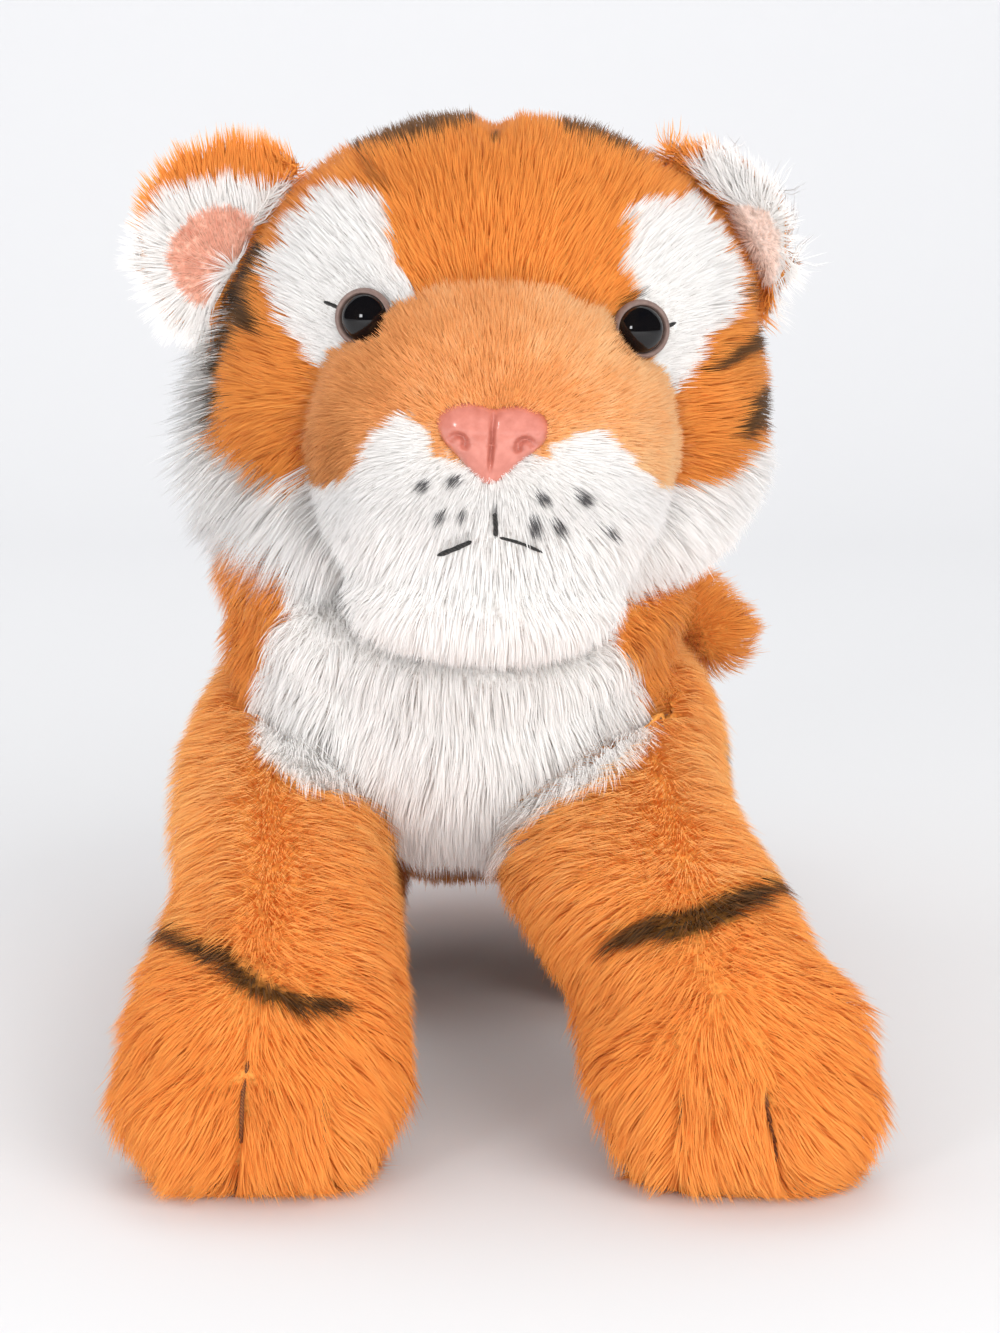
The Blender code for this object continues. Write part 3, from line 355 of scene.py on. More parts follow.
PILE_RAMPS = {
    "orange": (
        (0.00, (0.030, 0.018, 0.010)),
        (0.14, (0.075, 0.042, 0.018)),
        (0.28, (0.360, 0.150, 0.038)),
        (0.40, (0.760, 0.270, 0.050)),
        (0.60, (0.930, 0.390, 0.082)),
        (0.80, (0.965, 0.470, 0.125)),
        (1.00, (0.980, 0.620, 0.250)),
    ),
    "white": (
        (0.00, (0.030, 0.030, 0.034)),
        (0.16, (0.190, 0.185, 0.190)),
        (0.32, (0.700, 0.685, 0.680)),
        (0.50, (0.910, 0.895, 0.885)),
        (1.00, (0.970, 0.965, 0.960)),
    ),
    "tan": (
        (0.00, (0.240, 0.100, 0.034)),
        (0.35, (0.680, 0.290, 0.090)),
        (0.65, (0.930, 0.460, 0.170)),
        (1.00, (0.975, 0.680, 0.370)),
    ),
    "pink": (
        (0.00, (0.600, 0.220, 0.150)),
        (0.50, (0.920, 0.560, 0.430)),
        (1.00, (0.985, 0.840, 0.760)),
    ),
}

# Painted shade deep in the pile: each fibre is this much darker at its root, by kind of pile, and
# a little darker half way.
ROOT_PAINTED_SHADES = {
    "orange": (0.91, 0.79, 0.66),
    "white": (0.98, 0.975, 0.97),
    "tan": (0.93, 0.87, 0.81),
    "pink": (0.99, 0.97, 0.95),
}
MIDDLE_PAINTED_SHADE = (0.97, 0.96, 0.95)
PILE_GLOW = 0.42


def pile_material(kind):
    """Pile whose colour runs from fibre to fibre (u), and along each fibre (v) as painted shade
    towards its root.
    """
    material, tree, out = shader("pile_" + kind)
    spot = node_of(tree, "UVMap")
    spot.uv_map = "OFBake"
    split = node_of(tree, "SeparateXYZ")
    tree.links.new(spot.outputs["UV"], split.inputs[0])
    tone = ramp_node(tree, PILE_RAMPS[kind], split.outputs["X"])
    # Painted shade towards each fibre's root.
    stops = ((0.0, ROOT_PAINTED_SHADES[kind]), (0.55, MIDDLE_PAINTED_SHADE), (1.0, (1.0, 1.0, 1.0)))
    colour = multiply(tree, tone, ramp_node(tree, stops, split.outputs["Y"]))
    body = surface(
        tree, out, colour,
        Roughness=0.62, Specular_IOR_Level=0.25, Sheen_Weight=0.12, Sheen_Roughness=0.5,
    )
    glow = node_of(tree, "BsdfTranslucent")
    tree.links.new(colour, glow.inputs["Color"])
    mix = node_of(tree, "MixShader", Fac=PILE_GLOW)
    tree.links.new(body.outputs[0], mix.inputs[1])
    tree.links.new(glow.outputs[0], mix.inputs[2])
    tree.links.new(mix.outputs[0], out.inputs["Surface"])
    return material


def hide_material():
    """The knitted backing under the pile, in the colour of the pile over it."""
    material, tree, out = shader("backing_knit")
    tint = node_of(tree, "Attribute")
    tint.attribute_name = "tint"
    grain = texture(tree, "TexNoise", Scale=900.0, Detail=3.0).outputs["Fac"]
    shade = ramp_node(tree, ((0.3, (0.55, 0.52, 0.50)), (0.7, (1.0, 1.0, 1.0))), grain)
    colour = multiply(tree, tint.outputs["Color"], shade)
    surface(tree, out, colour, (grain, 0.5, 0.6 * MM), Roughness=0.95, Specular_IOR_Level=0.1)
    return material


def plastic_material(name, colours, roughness, coat, bumps, size, specular=0.5):
    """Moulded plastic: cloudy colour, a coat and a slightly uneven surface."""
    material, tree, out = shader(name)
    cloud = texture(tree, "TexNoise", Scale=size, Detail=4.0).outputs["Fac"]
    colour = ramp_node(tree, ((0.3, colours[0]), (0.7, colours[1])), cloud)
    surface(
        tree, out, colour, (cloud, bumps, 0.3 * MM),
        Roughness=roughness, Coat_Weight=coat, Coat_Roughness=0.08, Specular_IOR_Level=specular,
    )
    return material


def thread_material(name, colours):
    material, tree, out = shader(name)
    wave = texture(tree, "TexWave", Scale=900.0, Distortion=2.0)
    wave.bands_direction = "DIAGONAL"
    twist = wave.outputs["Fac"]
    colour = ramp_node(tree, ((0.2, colours[0]), (0.8, colours[1])), twist)
    surface(tree, out, colour, (twist, 0.6, 0.2 * MM), Roughness=0.7, Sheen_Weight=0.1)
    return material


# What each hide stands for: the CAD skins with the kind of pile on each, and the fillings.
ORANGE, WHITE, TAN, PINK = range(4)
KINDS = ("orange", "white", "tan", "pink")
SLOTS = ("orange_plush", "white_plush", "tan_plush", "pink_plush")

PELTS = {
    "torso": {"torso_skin": ORANGE, "chest_panel": WHITE, "torso_stuffing": None},
    "head": {
        "head_skin": ORANGE,
        "cheek_panel": WHITE,
        "eye_patch_left": WHITE,
        "eye_patch_right": WHITE,
        "muzzle_upper": TAN,
        "muzzle_lower": WHITE,
        "chin": WHITE,
        "head_stuffing": None,
        "muzzle_stuffing": None,
    },
}
for side in SIDES:
    PELTS["ear_" + side] = {
        "ear_back_" + side: ORANGE, "ear_lining_" + side: WHITE, "ear_patch_" + side: PINK,
    }
for leg in ("front_leg_", "hind_leg_"):
    for side in SIDES:
        PELTS[leg + side] = {leg + side + "_skin": ORANGE, leg + side + "_stuffing": None}
PELTS["tail"] = {"tail_skin": ORANGE, "tail_stuffing": None}

# How far each hide is drawn in under its pile, and the voxel it is remeshed with, in mm.
INSET = {"torso": 4.0, "head": 3.6, "ear_left": 1.6, "ear_right": 1.6, "tail": 4.0}
LIMB_INSET = 3.4
NODE_INSET = {"muzzle_upper": 1.8, "muzzle_lower": 2.2, "chin": 3.6}
VOXEL = {"ear_left": 1.6, "ear_right": 1.6}
PLAIN_VOXEL = 2.6
# Rounds of smoothing, and how far a hide stays off the floor.
EAR_ROUNDS, PLAIN_ROUNDS = 3, 6
HIDE_FLOOR = 1.2 * MM

# Outlines of colour on the photograph's frame.
TAN_ARCH = [
    (270, 484), (272, 440), (296, 380), (325, 335), (370, 298), (425, 270), (462, 256), (491, 250),
    (540, 262), (584, 285), (625, 317), (670, 353), (705, 394), (723, 436), (728, 468), (720, 493),
    (677, 489), (658, 480), (630, 448), (606, 424), (586, 428), (551, 442), (545, 405), (440, 405),
    (440, 436), (428, 428), (405, 408), (388, 416), (377, 430), (353, 475), (330, 482),
]
PATCH_LEFT = [
    (276, 285), (272, 258), (290, 222), (320, 193), (352, 183), (382, 187), (395, 200), (393, 236),
    (408, 268), (420, 296), (400, 330), (370, 345), (350, 362), (328, 374), (312, 352), (288, 325),
]
PATCH_RIGHT = [
    (625, 206), (637, 200), (662, 198), (688, 196), (708, 216), (732, 257), (737, 279), (734, 308),
    (722, 323), (705, 332), (703, 354), (688, 376), (674, 391), (654, 374), (645, 361), (655, 320),
    (637, 296), (632, 281), (623, 255), (630, 235),
]
CHEST = [
    (281, 500), (281, 609), (277, 638), (263, 671), (254, 707), (250, 736), (270, 758), (295, 773),
    (332, 789), (383, 796), (397, 809), (404, 831), (410, 864), (452, 884), (506, 870), (513, 842),
    (543, 809), (590, 780), (619, 755), (652, 729), (644, 707), (634, 671), (626, 645), (619, 624),
    (619, 500),
]
FACE_ORANGE = [
    (335, 130), (310, 185), (272, 226), (240, 275), (219, 317), (206, 360), (205, 405), (214, 440),
    (232, 466), (262, 486), (294, 508), (304, 470), (500, 470), (697, 484), (720, 480), (752, 458),
    (770, 418), (777, 357), (772, 317), (756, 278), (727, 222), (694, 185), (655, 135), (600, 100),
    (400, 100),
]
NOSE_SEAT = [(440, 408), (490, 400), (549, 408), (548, 440), (500, 478), (450, 455)]

# Stripes: a line, its half width in pixels and how dark it is.
STRIPES_HEAD = [
    ([(360, 150), (390, 141), (418, 134), (480, 119)], 9, 0.8),
    ([(371, 164), (394, 183)], 7, 0.45),
    ([(548, 118), (577, 133), (630, 151), (655, 160)], 9, 0.8),
    ([(268, 250), (252, 285), (239, 314), (225, 349), (220, 389), (216, 420)], 13, 1.0),
    ([(244, 306), (263, 328)], 10, 0.9),
    ([(768, 318), (744, 340), (722, 357)], 13, 0.9),
    ([(770, 364), (757, 405), (746, 426)], 12, 0.9),
    ([(744, 282), (752, 300)], 8, 0.7),
]
STRIPES_LEG = {
    "front_leg_right": [
        ([(160, 934), (190, 952), (225, 968), (262, 996), (300, 1010), (352, 1014)], 15, 1.0),
    ],
    "front_leg_left": [([(612, 950), (648, 932), (690, 924), (735, 908), (784, 888)], 21, 1.0)],
}
# Whisker spots: across, down and radius.
WHISKERS = [
    (420, 486, 8), (452, 481, 8), (439, 520, 7), (462, 518, 6),
    (550, 501, 8), (593, 498, 9), (541, 531, 9), (567, 532, 9), (620, 535, 8),
]

# The ears are named here as the photograph shows them: its left is the toy's right.
LINING_LEFT = [
    (308, 184), (271, 180), (222, 181), (192, 187), (168, 196), (150, 214), (136, 232), (98, 250),
    (80, 275), (90, 320), (140, 370), (188, 392), (222, 340), (219, 317), (237, 280), (270, 230),
]
PINK_LEFT = [
    (185, 238), (207, 216), (234, 207), (264, 220), (252, 254), (230, 272), (220, 298), (205, 300),
    (186, 280), (179, 256),
]
LINING_RIGHT = [
    (679, 170), (705, 148), (742, 142), (762, 146), (784, 160), (806, 186), (822, 218), (840, 250),
    (840, 300), (800, 350), (774, 330), (770, 300), (757, 270), (740, 235), (718, 205),
]
PINK_RIGHT = [
    (724, 208), (744, 207), (762, 213), (774, 235), (774, 264), (766, 286), (752, 270), (738, 240),
]

MOUTH_LINES = (
    ((497, 508), (498, 520), (498, 534)),
    ((474, 537), (458, 545), (440, 553)),
    ((502, 533), (522, 539), (545, 550)),
)
EYE_LINES = (((655, 327), (664, 325), (675, 321)), ((346, 306), (339, 303), (330, 300)))

EYES = ("eye_left", "eye_right")
BODY_NUMBERS = {name: number for number, name in enumerate(PELTS)}
FACE_CENTRE = np.array((0.0016, -0.128, 0.152))
NOSE_MIDDLE = (494, 441)
TORSO_MIDDLE = -0.0065
CROWN_MIDDLE = 0.0020
FUZZ = 5.0

# Stripes that the photograph doesn't show, in metres: along the body, up the hind legs and
# the back of the head, and across the tail.
TORSO_BANDS = (-0.020, 0.008, 0.036, 0.064, 0.090)
HIND_BANDS = (0.034, 0.056)
HEAD_BANDS = (0.214, 0.197, 0.178)
TAIL_BANDS = (0.006, 0.026, 0.045)
BAND_HALF = 0.0022
BAND_REACH, CHEVRON_REACH = 0.0052, 0.0055
TORSO_BAND_WIDTH = 0.0065


def fuzzy(spots, points, seed):
    """Moves each spot a little, so that the edge between two colours is ragged."""
    jitter = np.stack([noise(points, 2.2 * MM, seed), noise(points, 2.2 * MM, seed + 1)], 1)
    return spots + jitter * FUZZ


def stripe_strength(spots, points, stripes, seed):
    """1 inside the stripes, 0 outside, with ragged soft edges."""
    wobble = noise(points, 4 * MM, seed) * 3.0 + noise(points, 1.5 * MM, seed + 1) * 2.5
    strength = np.zeros(len(spots))
    for line, half, full in stripes:
        gap, along = line_distance(spots, line)
        width = half * (0.55 + 0.45 * np.sin(np.pi * np.clip(along, 0.05, 0.95)))
        found = 1 - smoothstep(width * 0.45, width * 1.35, gap + wobble)
        strength = np.maximum(strength, full * found)
    return strength


def torso_stripes(points, seed):
    """Soft stripes across the back and down the sides."""
    side = points[:, 0] - TORSO_MIDDLE
    wave = noise(points, 22 * MM, seed) * 0.006
    strength = np.zeros(len(points))
    for number, middle in enumerate(TORSO_BANDS):
        for hand in (-1, 1):
            shift = 0.006 * hand * (1 if number % 2 else -1)
            lean = 0.18 * (0.13 - points[:, 2])
            gap = np.abs(points[:, 1] - middle - shift + wave - lean)
            low = 0.060 + 0.012 * ((number + (hand > 0)) % 3)
            reach = smoothstep(low, low + 0.025, points[:, 2])
            width = TORSO_BAND_WIDTH * reach
            own = smoothstep(-0.003, 0.002, side * hand)
            found = (1 - smoothstep(width * 0.6, width * 1.1 + 1e-6, gap)) * own * (reach > 0.05)
            strength = np.maximum(strength, found)
    return strength


def bands(place, levels, reach=BAND_REACH):
    """1 on each level, 0 beyond this distance from it."""
    strength = np.zeros(len(place))
    for level in levels:
        found = 1 - smoothstep(BAND_HALF, reach, np.abs(place - level))
        strength = np.maximum(strength, found)
    return strength


def limb_stripes(body, points, normals, seed):
    """Soft rings round the outer side of a hind leg."""
    wave = noise(points, 14 * MM, seed) * 0.004
    outward = normals[:, 0] * (1 if body.endswith("left") else -1)
    return bands(points[:, 2] + wave, HIND_BANDS) * smoothstep(-0.2, 0.3, outward)


def head_back_stripes(points, seed):
    """Chevrons down the back of the head."""
    wave = noise(points, 18 * MM, seed) * 0.004
    strength = np.zeros(len(points))
    for hand in (-1, 1):
        side = (points[:, 0] - CROWN_MIDDLE) * hand
        own = smoothstep(0.001, 0.004, side) * (1 - smoothstep(0.026, 0.040, side))
        found = bands(points[:, 2] + wave + 0.55 * side, HEAD_BANDS, CHEVRON_REACH)
        strength = np.maximum(strength, found * own)
    return strength * smoothstep(0.150, 0.170, points[:, 2])


def tail_stripes(points, seed):
    wave = noise(points, 14 * MM, seed) * 0.004
    behind = smoothstep(0.125, 0.14, points[:, 1])
    return bands(points[:, 0] + wave, TAIL_BANDS) * behind


def box_middle(name):
    low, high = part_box(name)
    return np.array([(a + b) / 2 for a, b in zip(low, high)])


def nearest_nodes(points, names):
    """The number in names of the CAD skin nearest to each point."""
    best = np.full(len(points), np.inf)
    owner = np.zeros(len(points), int)
    for number, name in enumerate(names):
        tree = tree_of(*mesh_arrays(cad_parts[name].data))
        gaps = np.array([tree.find_nearest(Vector(p))[3] for p in points])
        nearer = gaps < best
        best = np.where(nearer, gaps, best)
        owner = np.where(nearer, number, owner)
    return owner


def ledge_weight(roots, normals):
    """1 on the flat top of the chest, under the chin."""
    level = smoothstep(0.082, 0.090, roots[:, 2]) * smoothstep(-0.040, -0.052, roots[:, 1])
    return level * smoothstep(0.15, 0.45, normals[:, 2])


def ruff_weight(roots, normals):
    """1 on the long white fringe behind the toy's right cheek, 0 away from it."""
    side = smoothstep(-0.35, -0.7, normals[:, 0])
    level = smoothstep(0.088, 0.100, roots[:, 2]) * smoothstep(0.192, 0.172, roots[:, 2])
    depth = smoothstep(-0.066, -0.056, roots[:, 1]) * smoothstep(0.004, -0.010, roots[:, 1])
    return side * level * depth


def jowl_weight(roots):
    """1 on the low white cheek on the toy's right, where the pile hangs over the shoulder."""
    return smoothstep(-0.018, -0.034, roots[:, 0]) * smoothstep(0.168, 0.148, roots[:, 2])


def swell(body, points, normals):
    """How far the hide moves outwards where the toy is fuller or slimmer than its CAD skin."""
    down = pixels_of(points)[:, 1]
    right = smoothstep(0.1, 0.6, normals[:, 0])
    left = smoothstep(-0.1, -0.6, normals[:, 0])
    front = smoothstep(-0.2, -0.7, normals[:, 1])
    out = np.zeros(len(points))
    if body == "torso":
        level = smoothstep(0.070, 0.092, points[:, 2]) * smoothstep(0.155, 0.130, points[:, 2])
        out += 4.5 * left * level * smoothstep(0.10, 0.06, points[:, 1])
        out += 9.0 * ledge_weight(points, normals)
    elif body == "head":
        level = smoothstep(0.100, 0.115, points[:, 2]) * smoothstep(0.195, 0.175, points[:, 2])
        out += 2.0 * left * level
    elif body == "front_leg_right":
        out += left * (4.0 * smoothstep(1060, 1120, down) - 5.0 * hump(down, 880, 75))
        out += 2.0 * right * smoothstep(1120, 1170, down)
        out += 2.0 * front * smoothstep(1140, 1180, down)
    elif body == "front_leg_left":
        out += right * (5.0 * smoothstep(1060, 1130, down) - 3.5 * hump(down, 940, 60))
        out += left * (3.0 * hump(down, 870, 50) - 3.0 * hump(down, 1000, 50))
        out += left * 3.0 * smoothstep(1120, 1170, down)
        out += 2.0 * front * smoothstep(1140, 1180, down)
    return out * MM


# A place on a hide is covered where every way out, up to LOOK_FAR, meets another hide.
COVER_REACH = 6.0 * MM
LOOK_FAR = 0.06
LOOK_COUNT = 64
LOOK_DOWN = -0.10
LOOKS = []
for k in range(LOOK_COUNT):
    height = 1 - (k + 0.5) / (LOOK_COUNT / 2)
    turn = k * math.pi * (3 - math.sqrt(5))
    wide = math.sqrt(1 - height**2)
    LOOKS.append((wide * math.cos(turn), wide * math.sin(turn), height))
LOOKS = np.array(LOOKS)


def points_at(*pixels, y):
    return [tuple(place_of(p, y)) for p in pixels]


def hind_toe(x):
    return [(x, -0.018, 0.004), (x, -0.017, 0.014), (x, -0.011, 0.024)]


TOE_LINES = {
    "front_leg_right": [
        points_at((233, 1196), (237, 1150), (240, 1105), (246, 1070), y=-0.166),
        points_at((318, 1190), (322, 1150), (318, 1110), y=-0.166),
    ],
    "front_leg_left": [
        points_at((785, 1195), (786, 1170), (780, 1140), (772, 1100), y=-0.166),
        points_at((690, 1190), (688, 1150), (690, 1110), y=-0.166),
    ],
    "hind_leg_left": [hind_toe(0.0262), hind_toe(0.0448)],
    "hind_leg_right": [hind_toe(-0.0578), hind_toe(-0.0392)],
}
CROWN_SEAM = [(0.0020, -0.075, 0.215), (0.0020, -0.055, 0.222), (0.0020, -0.030, 0.215)]

# Grooves in the hides: a line, its depth and its half width.
GROOVES = {"head": [(CROWN_SEAM, 2.0 * MM, 4.0 * MM)]}
for body, lines in TOE_LINES.items():
    depth, reach = (2.6, 4.0) if body.startswith("front") else (2.2, 3.5)
    GROOVES[body] = [(line, depth * MM, reach * MM) for line in lines]


class Hide:
    """A body's hide, with the skin each vertex is nearest to and whether it is covered."""

    def __init__(self, body):
        self.body = body
        self.skins = [name for name, kind in PELTS[body].items() if kind is not None]
        self.kinds = np.array([PELTS[body][name] for name in self.skins])
        voxel = VOXEL.get(body, PLAIN_VOXEL) * MM
        rounds = EAR_ROUNDS if body.startswith("ear") else PLAIN_ROUNDS
        self.obj = pelt_of(body + "_hide", list(PELTS[body]), voxel, rounds)
        points, faces = mesh_arrays(self.obj.data)
        normals = vertex_normals(points, faces)
        self.near = nearest_nodes(points, self.skins)
        inset = np.full(len(points), INSET.get(body, LIMB_INSET)) * MM
        names = np.array(self.skins)[self.near]
        for name, depth in NODE_INSET.items():
            inset[names == name] = depth * MM
        for line, depth, reach in GROOVES.get(body, ()):
            inset += depth * hump(line_distance(points, line)[0], 0, reach)
        inset -= swell(body, points, normals)
        points = points - normals * inset[:, None]
        points[:, 2] = np.maximum(points[:, 2], HIDE_FLOOR)
        self.obj.data.vertices.foreach_set("co", points.ravel())
        self.obj.data.update()
        relax(self.obj, 2)
        shade_smooth(self.obj)
        self.points, self.faces = mesh_arrays(self.obj.data)
        self.normals = vertex_normals(self.points, self.faces)
        self.tree = tree_of(self.points, self.faces)
        self.covered = np.zeros(len(self.points), bool)

    def cover(self, others):
        """Marks the vertices that lie near or in another hide and see no way out past it."""
        near = np.zeros(len(self.points), bool)
        for other in others:
            low = other.points.min(0) - COVER_REACH
            high = other.points.max(0) + COVER_REACH
            inside = ((self.points > low) & (self.points < high)).all(1)
            for i in np.flatnonzero(inside & ~near):
                spot, normal, _, gap = other.tree.find_nearest(Vector(self.points[i]))
                near[i] = gap < COVER_REACH or (Vector(self.points[i]) - spot).dot(normal) < 0
        trees = [other.tree for other in others]
        for i in np.flatnonzero(near):
            start = Vector(self.points[i] + self.normals[i] * MM)
            ways = [Vector(way) for way in LOOKS[LOOKS @ self.normals[i] > LOOK_DOWN]]
            self.covered[i] = not any(
                all(tree.ray_cast(start, way, LOOK_FAR)[0] is None for tree in trees)
                for way in ways
            )


hides = {body: Hide(body) for body in PELTS}
for body, hide in hides.items():
    hide.cover([other for name, other in hides.items() if name != body])


def tangent(vectors, normals):
    return vectors - (vectors * normals).sum(1)[:, None] * normals


def combed(body, roots, normals):
    """Which way the pile lies, along the hide."""

    def lay(x, y, z):
        return tangent(np.array((x, y, z)) + 0 * roots, normals)

    if body == "head":
        away = unit(tangent(roots - FACE_CENTRE, normals))
        back = smoothstep(-0.08, -0.02, roots[:, 1])[:, None]
        away = away * (1 - back) + unit(lay(0.0, 0.6, -0.8)) * back
        low = smoothstep(0.165, 0.125, roots[:, 2])[:, None]
        ruff = ruff_weight(roots, normals)[:, None]
        lead = unit(away) + 0.6 * low * tangent(-UP + 0 * roots, normals)
        jowl = jowl_weight(roots)[:, None] * (1 - ruff)
        lead = lead * (1 - 0.7 * jowl) + np.array((-0.15, -0.40, -1.0)) * 0.7 * jowl
        return lead * (1 - ruff) + 0.55 * lay(-0.6, -0.7, -0.8) * ruff
    if body.startswith("ear"):
        side = "_left" if body.endswith("left") else "_right"
        middle = box_middle("ear_patch" + side) + np.array((0.0, 0.0, -0.006))
        hand = 1 if body.endswith("left") else -1
        spread = roots - middle
        outward = np.maximum(spread[:, 0] * hand, 0.003) * hand
        lead = np.stack((outward, 0.004 + 0 * outward, spread[:, 2] + 0.002), 1)
        return unit(tangent(lead, normals))
    if body == "tail":
        return unit(lay(0.75, 0.25, 0.1))
    if body == "torso":
        spread = np.clip((roots[:, :1] - TORSO_MIDDLE) / 0.035, -1, 1)
        front = smoothstep(-0.03, -0.07, roots[:, 1])[:, None]
        lead = (1 - front) * np.array((0.0, 0.75, -0.55)) + front * np.array((0.0, -0.2, -1.0))
        return unit(tangent(lead + spread * np.array((0.35, 0.0, 0.0)), normals))
    lead = np.array((0.0, -0.35, -0.9)) + 0 * roots
    if body.startswith("front"):
        lead = np.array((0.0, -0.10, -1.0)) + 0 * roots
        middle = (roots[:, 0].max() + roots[:, 0].min()) / 2
        low = smoothstep(0.10, 0.03, roots[:, 2])
        offset = roots[:, 0] - middle
        lead[:, 0] += np.clip(offset / 0.009, -1, 1) * 0.45 + offset / 0.030 * (0.20 + 0.45 * low)
    away = np.zeros_like(roots)
    for line, _, reach in GROOVES[body]:
        gap, _ = line_distance(roots, line)
        across, _, up = zip(*line)
        side = np.sign(roots[:, 0] - np.interp(roots[:, 2], up, across))
        away[:, 0] += side * hump(gap, 0, 1.6 * reach)
    return unit(tangent(unit(lead) + 0.9 * away, normals))


# Lengths of the pile, in mm.
ORANGE_PILE = 10.0
WHITE_PILE = 11.0
FACE_PILE = 8.4
CHEEK_PILE = 10.5
RUFF_PILE = 17.0
JOWL_PILE = 19.0
PATCH_PILE = 7.5
TAN_PILE = 3.8
PAD_PILE = 4.6
CHIN_PILE = 9.0
NOSE_PILE = 1.2
PINK_PILE = 3.0
LINING_PILE = {"ear_left": 10.5, "ear_right": 9.0}
EAR_PILE, EAR_TIP_MORE, EAR_BACK_PILE = 7.0, 2.0, 3.2
JAW_MORE = 4.0
BELLY_MORE = 4.0
PAW_MORE = 0.25

# Colours are read off the photograph where the hide faces it: the normal's y is below this.
FACING = 0.30
EAR_FACING = 0.25
CHEST_FACING = 0.35
MUZZLE_FRONT_Y = -0.088
EYES_FRONT_Y = -0.07
# Rows of the photograph's frame. The sides of the head are white under the first; the muzzle
# is tan over the second, and near the nose over the third.
TEMPLE_ROW = 215
BRIDGE_ROW = 400
NOSE_ROW = 452
NOSE_REACH = 62
# The shoulders are orange beside the chest between these rows, and the belly white under this.
SHOULDER_ROWS = 480, 860
BELLY_ROW = 835
BELLY_HALF = 0.030


def from_eye(roots, name):
    """How far each root is from an eye's middle: by axis, and across the face."""
    offset = roots - box_middle(name)
    return offset, np.linalg.norm(offset[:, [0, 2]], axis=1)


def head_plan(hide, near, mids, roots, normals, lengths, kinds, seed):
    """Kinds and lengths over the head, read off the outlines where it faces the camera."""
    names = np.array(hide.skins)[near]
    spots = fuzzy(pixels_of(mids), roots, seed)
    front = normals[:, 1] < FACING
    on_muzzle = np.isin(names, ("muzzle_upper", "muzzle_lower")) & (roots[:, 1] < MUZZLE_FRONT_Y)
    face = inside_outline(spots, FACE_ORANGE)
    kinds = kinds.copy()
    skin = front & ~on_muzzle
    kinds[skin & face] = ORANGE
    kinds[skin & ~face & (spots[:, 1] > TEMPLE_ROW)] = WHITE
    kinds[skin & ~face & (spots[:, 1] <= TEMPLE_ROW)] = ORANGE
    patch = inside_outline(spots, PATCH_LEFT) | inside_outline(spots, PATCH_RIGHT)
    kinds[skin & patch & (roots[:, 1] < -0.04)] = WHITE
    beside = np.abs(spots[:, 0] - NOSE_MIDDLE[0])
    round_nose = (beside < NOSE_REACH) & (spots[:, 1] < NOSE_ROW)
    tan = inside_outline(spots, TAN_ARCH) | (spots[:, 1] < BRIDGE_ROW) | round_nose
    kinds[on_muzzle] = np.where(tan, TAN, WHITE)[on_muzzle]
    lengths = lengths.copy()
    lengths[kinds == ORANGE] = FACE_PILE * MM
    lengths[kinds == WHITE] = CHEEK_PILE * MM
    ruff = ruff_weight(roots, normals)
    kinds[(ruff > 0.5) & skin] = WHITE
    lengths = np.where(skin, lengths * (1 - ruff) + RUFF_PILE * MM * ruff, lengths)
    jowl = np.maximum(lengths, JOWL_PILE * MM * jowl_weight(roots))
    lengths = np.where(skin & (kinds == WHITE), jowl, lengths)
    lengths[skin & patch] = PATCH_PILE * MM
    lengths[on_muzzle & (kinds == TAN)] = TAN_PILE * MM
    pads = on_muzzle & (kinds == WHITE)
    drop = smoothstep(500, 575, spots[:, 1])
    lengths[pads] = ((PAD_PILE + JAW_MORE * drop) * MM)[pads]
    lengths[names == "chin"] = CHIN_PILE * MM
    for line in MOUTH_LINES + EYE_LINES:
        gap, _ = line_distance(spots, line)
        lengths = lengths * (0.22 + 0.78 * smoothstep(2.5, 7.0, gap))
    for name in EYES:
        offset, gap = from_eye(roots, name)
        ahead = roots[:, 1] < EYES_FRONT_Y
        inner = offset[:, 0] * (-1 if name.endswith("left") else 1) > 0
        short = np.where(inner, 0.62, 0.42)
        short = short + (1 - short) * smoothstep(7.5 * MM, 17 * MM, gap)
        lengths = np.where(ahead & ~on_muzzle, lengths * short, lengths)
        lengths[(gap < 6.0 * MM) & ahead] = 0.0
    seat = inside_outline(spots, NOSE_SEAT)
    lengths[seat & on_muzzle & (kinds != ORANGE)] = NOSE_PILE * MM
    return kinds, lengths, spots


def ear_plan(hide, mids, roots, normals, kinds, seed):
    """Kinds over an ear: orange round the edge, white lining and a pink middle."""
    spots = fuzzy(pixels_of(mids), roots, seed)
    left = hide.body == "ear_right"
    lining, pink = (LINING_LEFT, PINK_LEFT) if left else (LINING_RIGHT, PINK_RIGHT)
    front = normals[:, 1] < EAR_FACING
    kinds = kinds.copy()
    kinds[front] = ORANGE
    kinds[front & inside_outline(spots, lining)] = WHITE
    kinds[front & inside_outline(pixels_of(roots), pink)] = PINK
    return kinds, spots


def chest_plan(body, kinds, spots, roots, normals):
    """White where the chest's outline falls on the torso and on the tops of the front legs."""
    if body != "torso" and not body.startswith("front"):
        return kinds
    kinds = kinds.copy()
    front = (normals[:, 1] < CHEST_FACING) & (roots[:, 1] < -0.03)
    chest = inside_outline(spots, CHEST)
    kinds[front & chest] = WHITE
    high, low = SHOULDER_ROWS
    kinds[front & ~chest & (spots[:, 1] > high) & (spots[:, 1] < low)] = ORANGE
    if body == "torso":
        inner = np.abs(roots[:, 0] - TORSO_MIDDLE) < BELLY_HALF
        kinds[(spots[:, 1] > BELLY_ROW) & (roots[:, 1] < 0.035) & inner] = WHITE
    return kinds


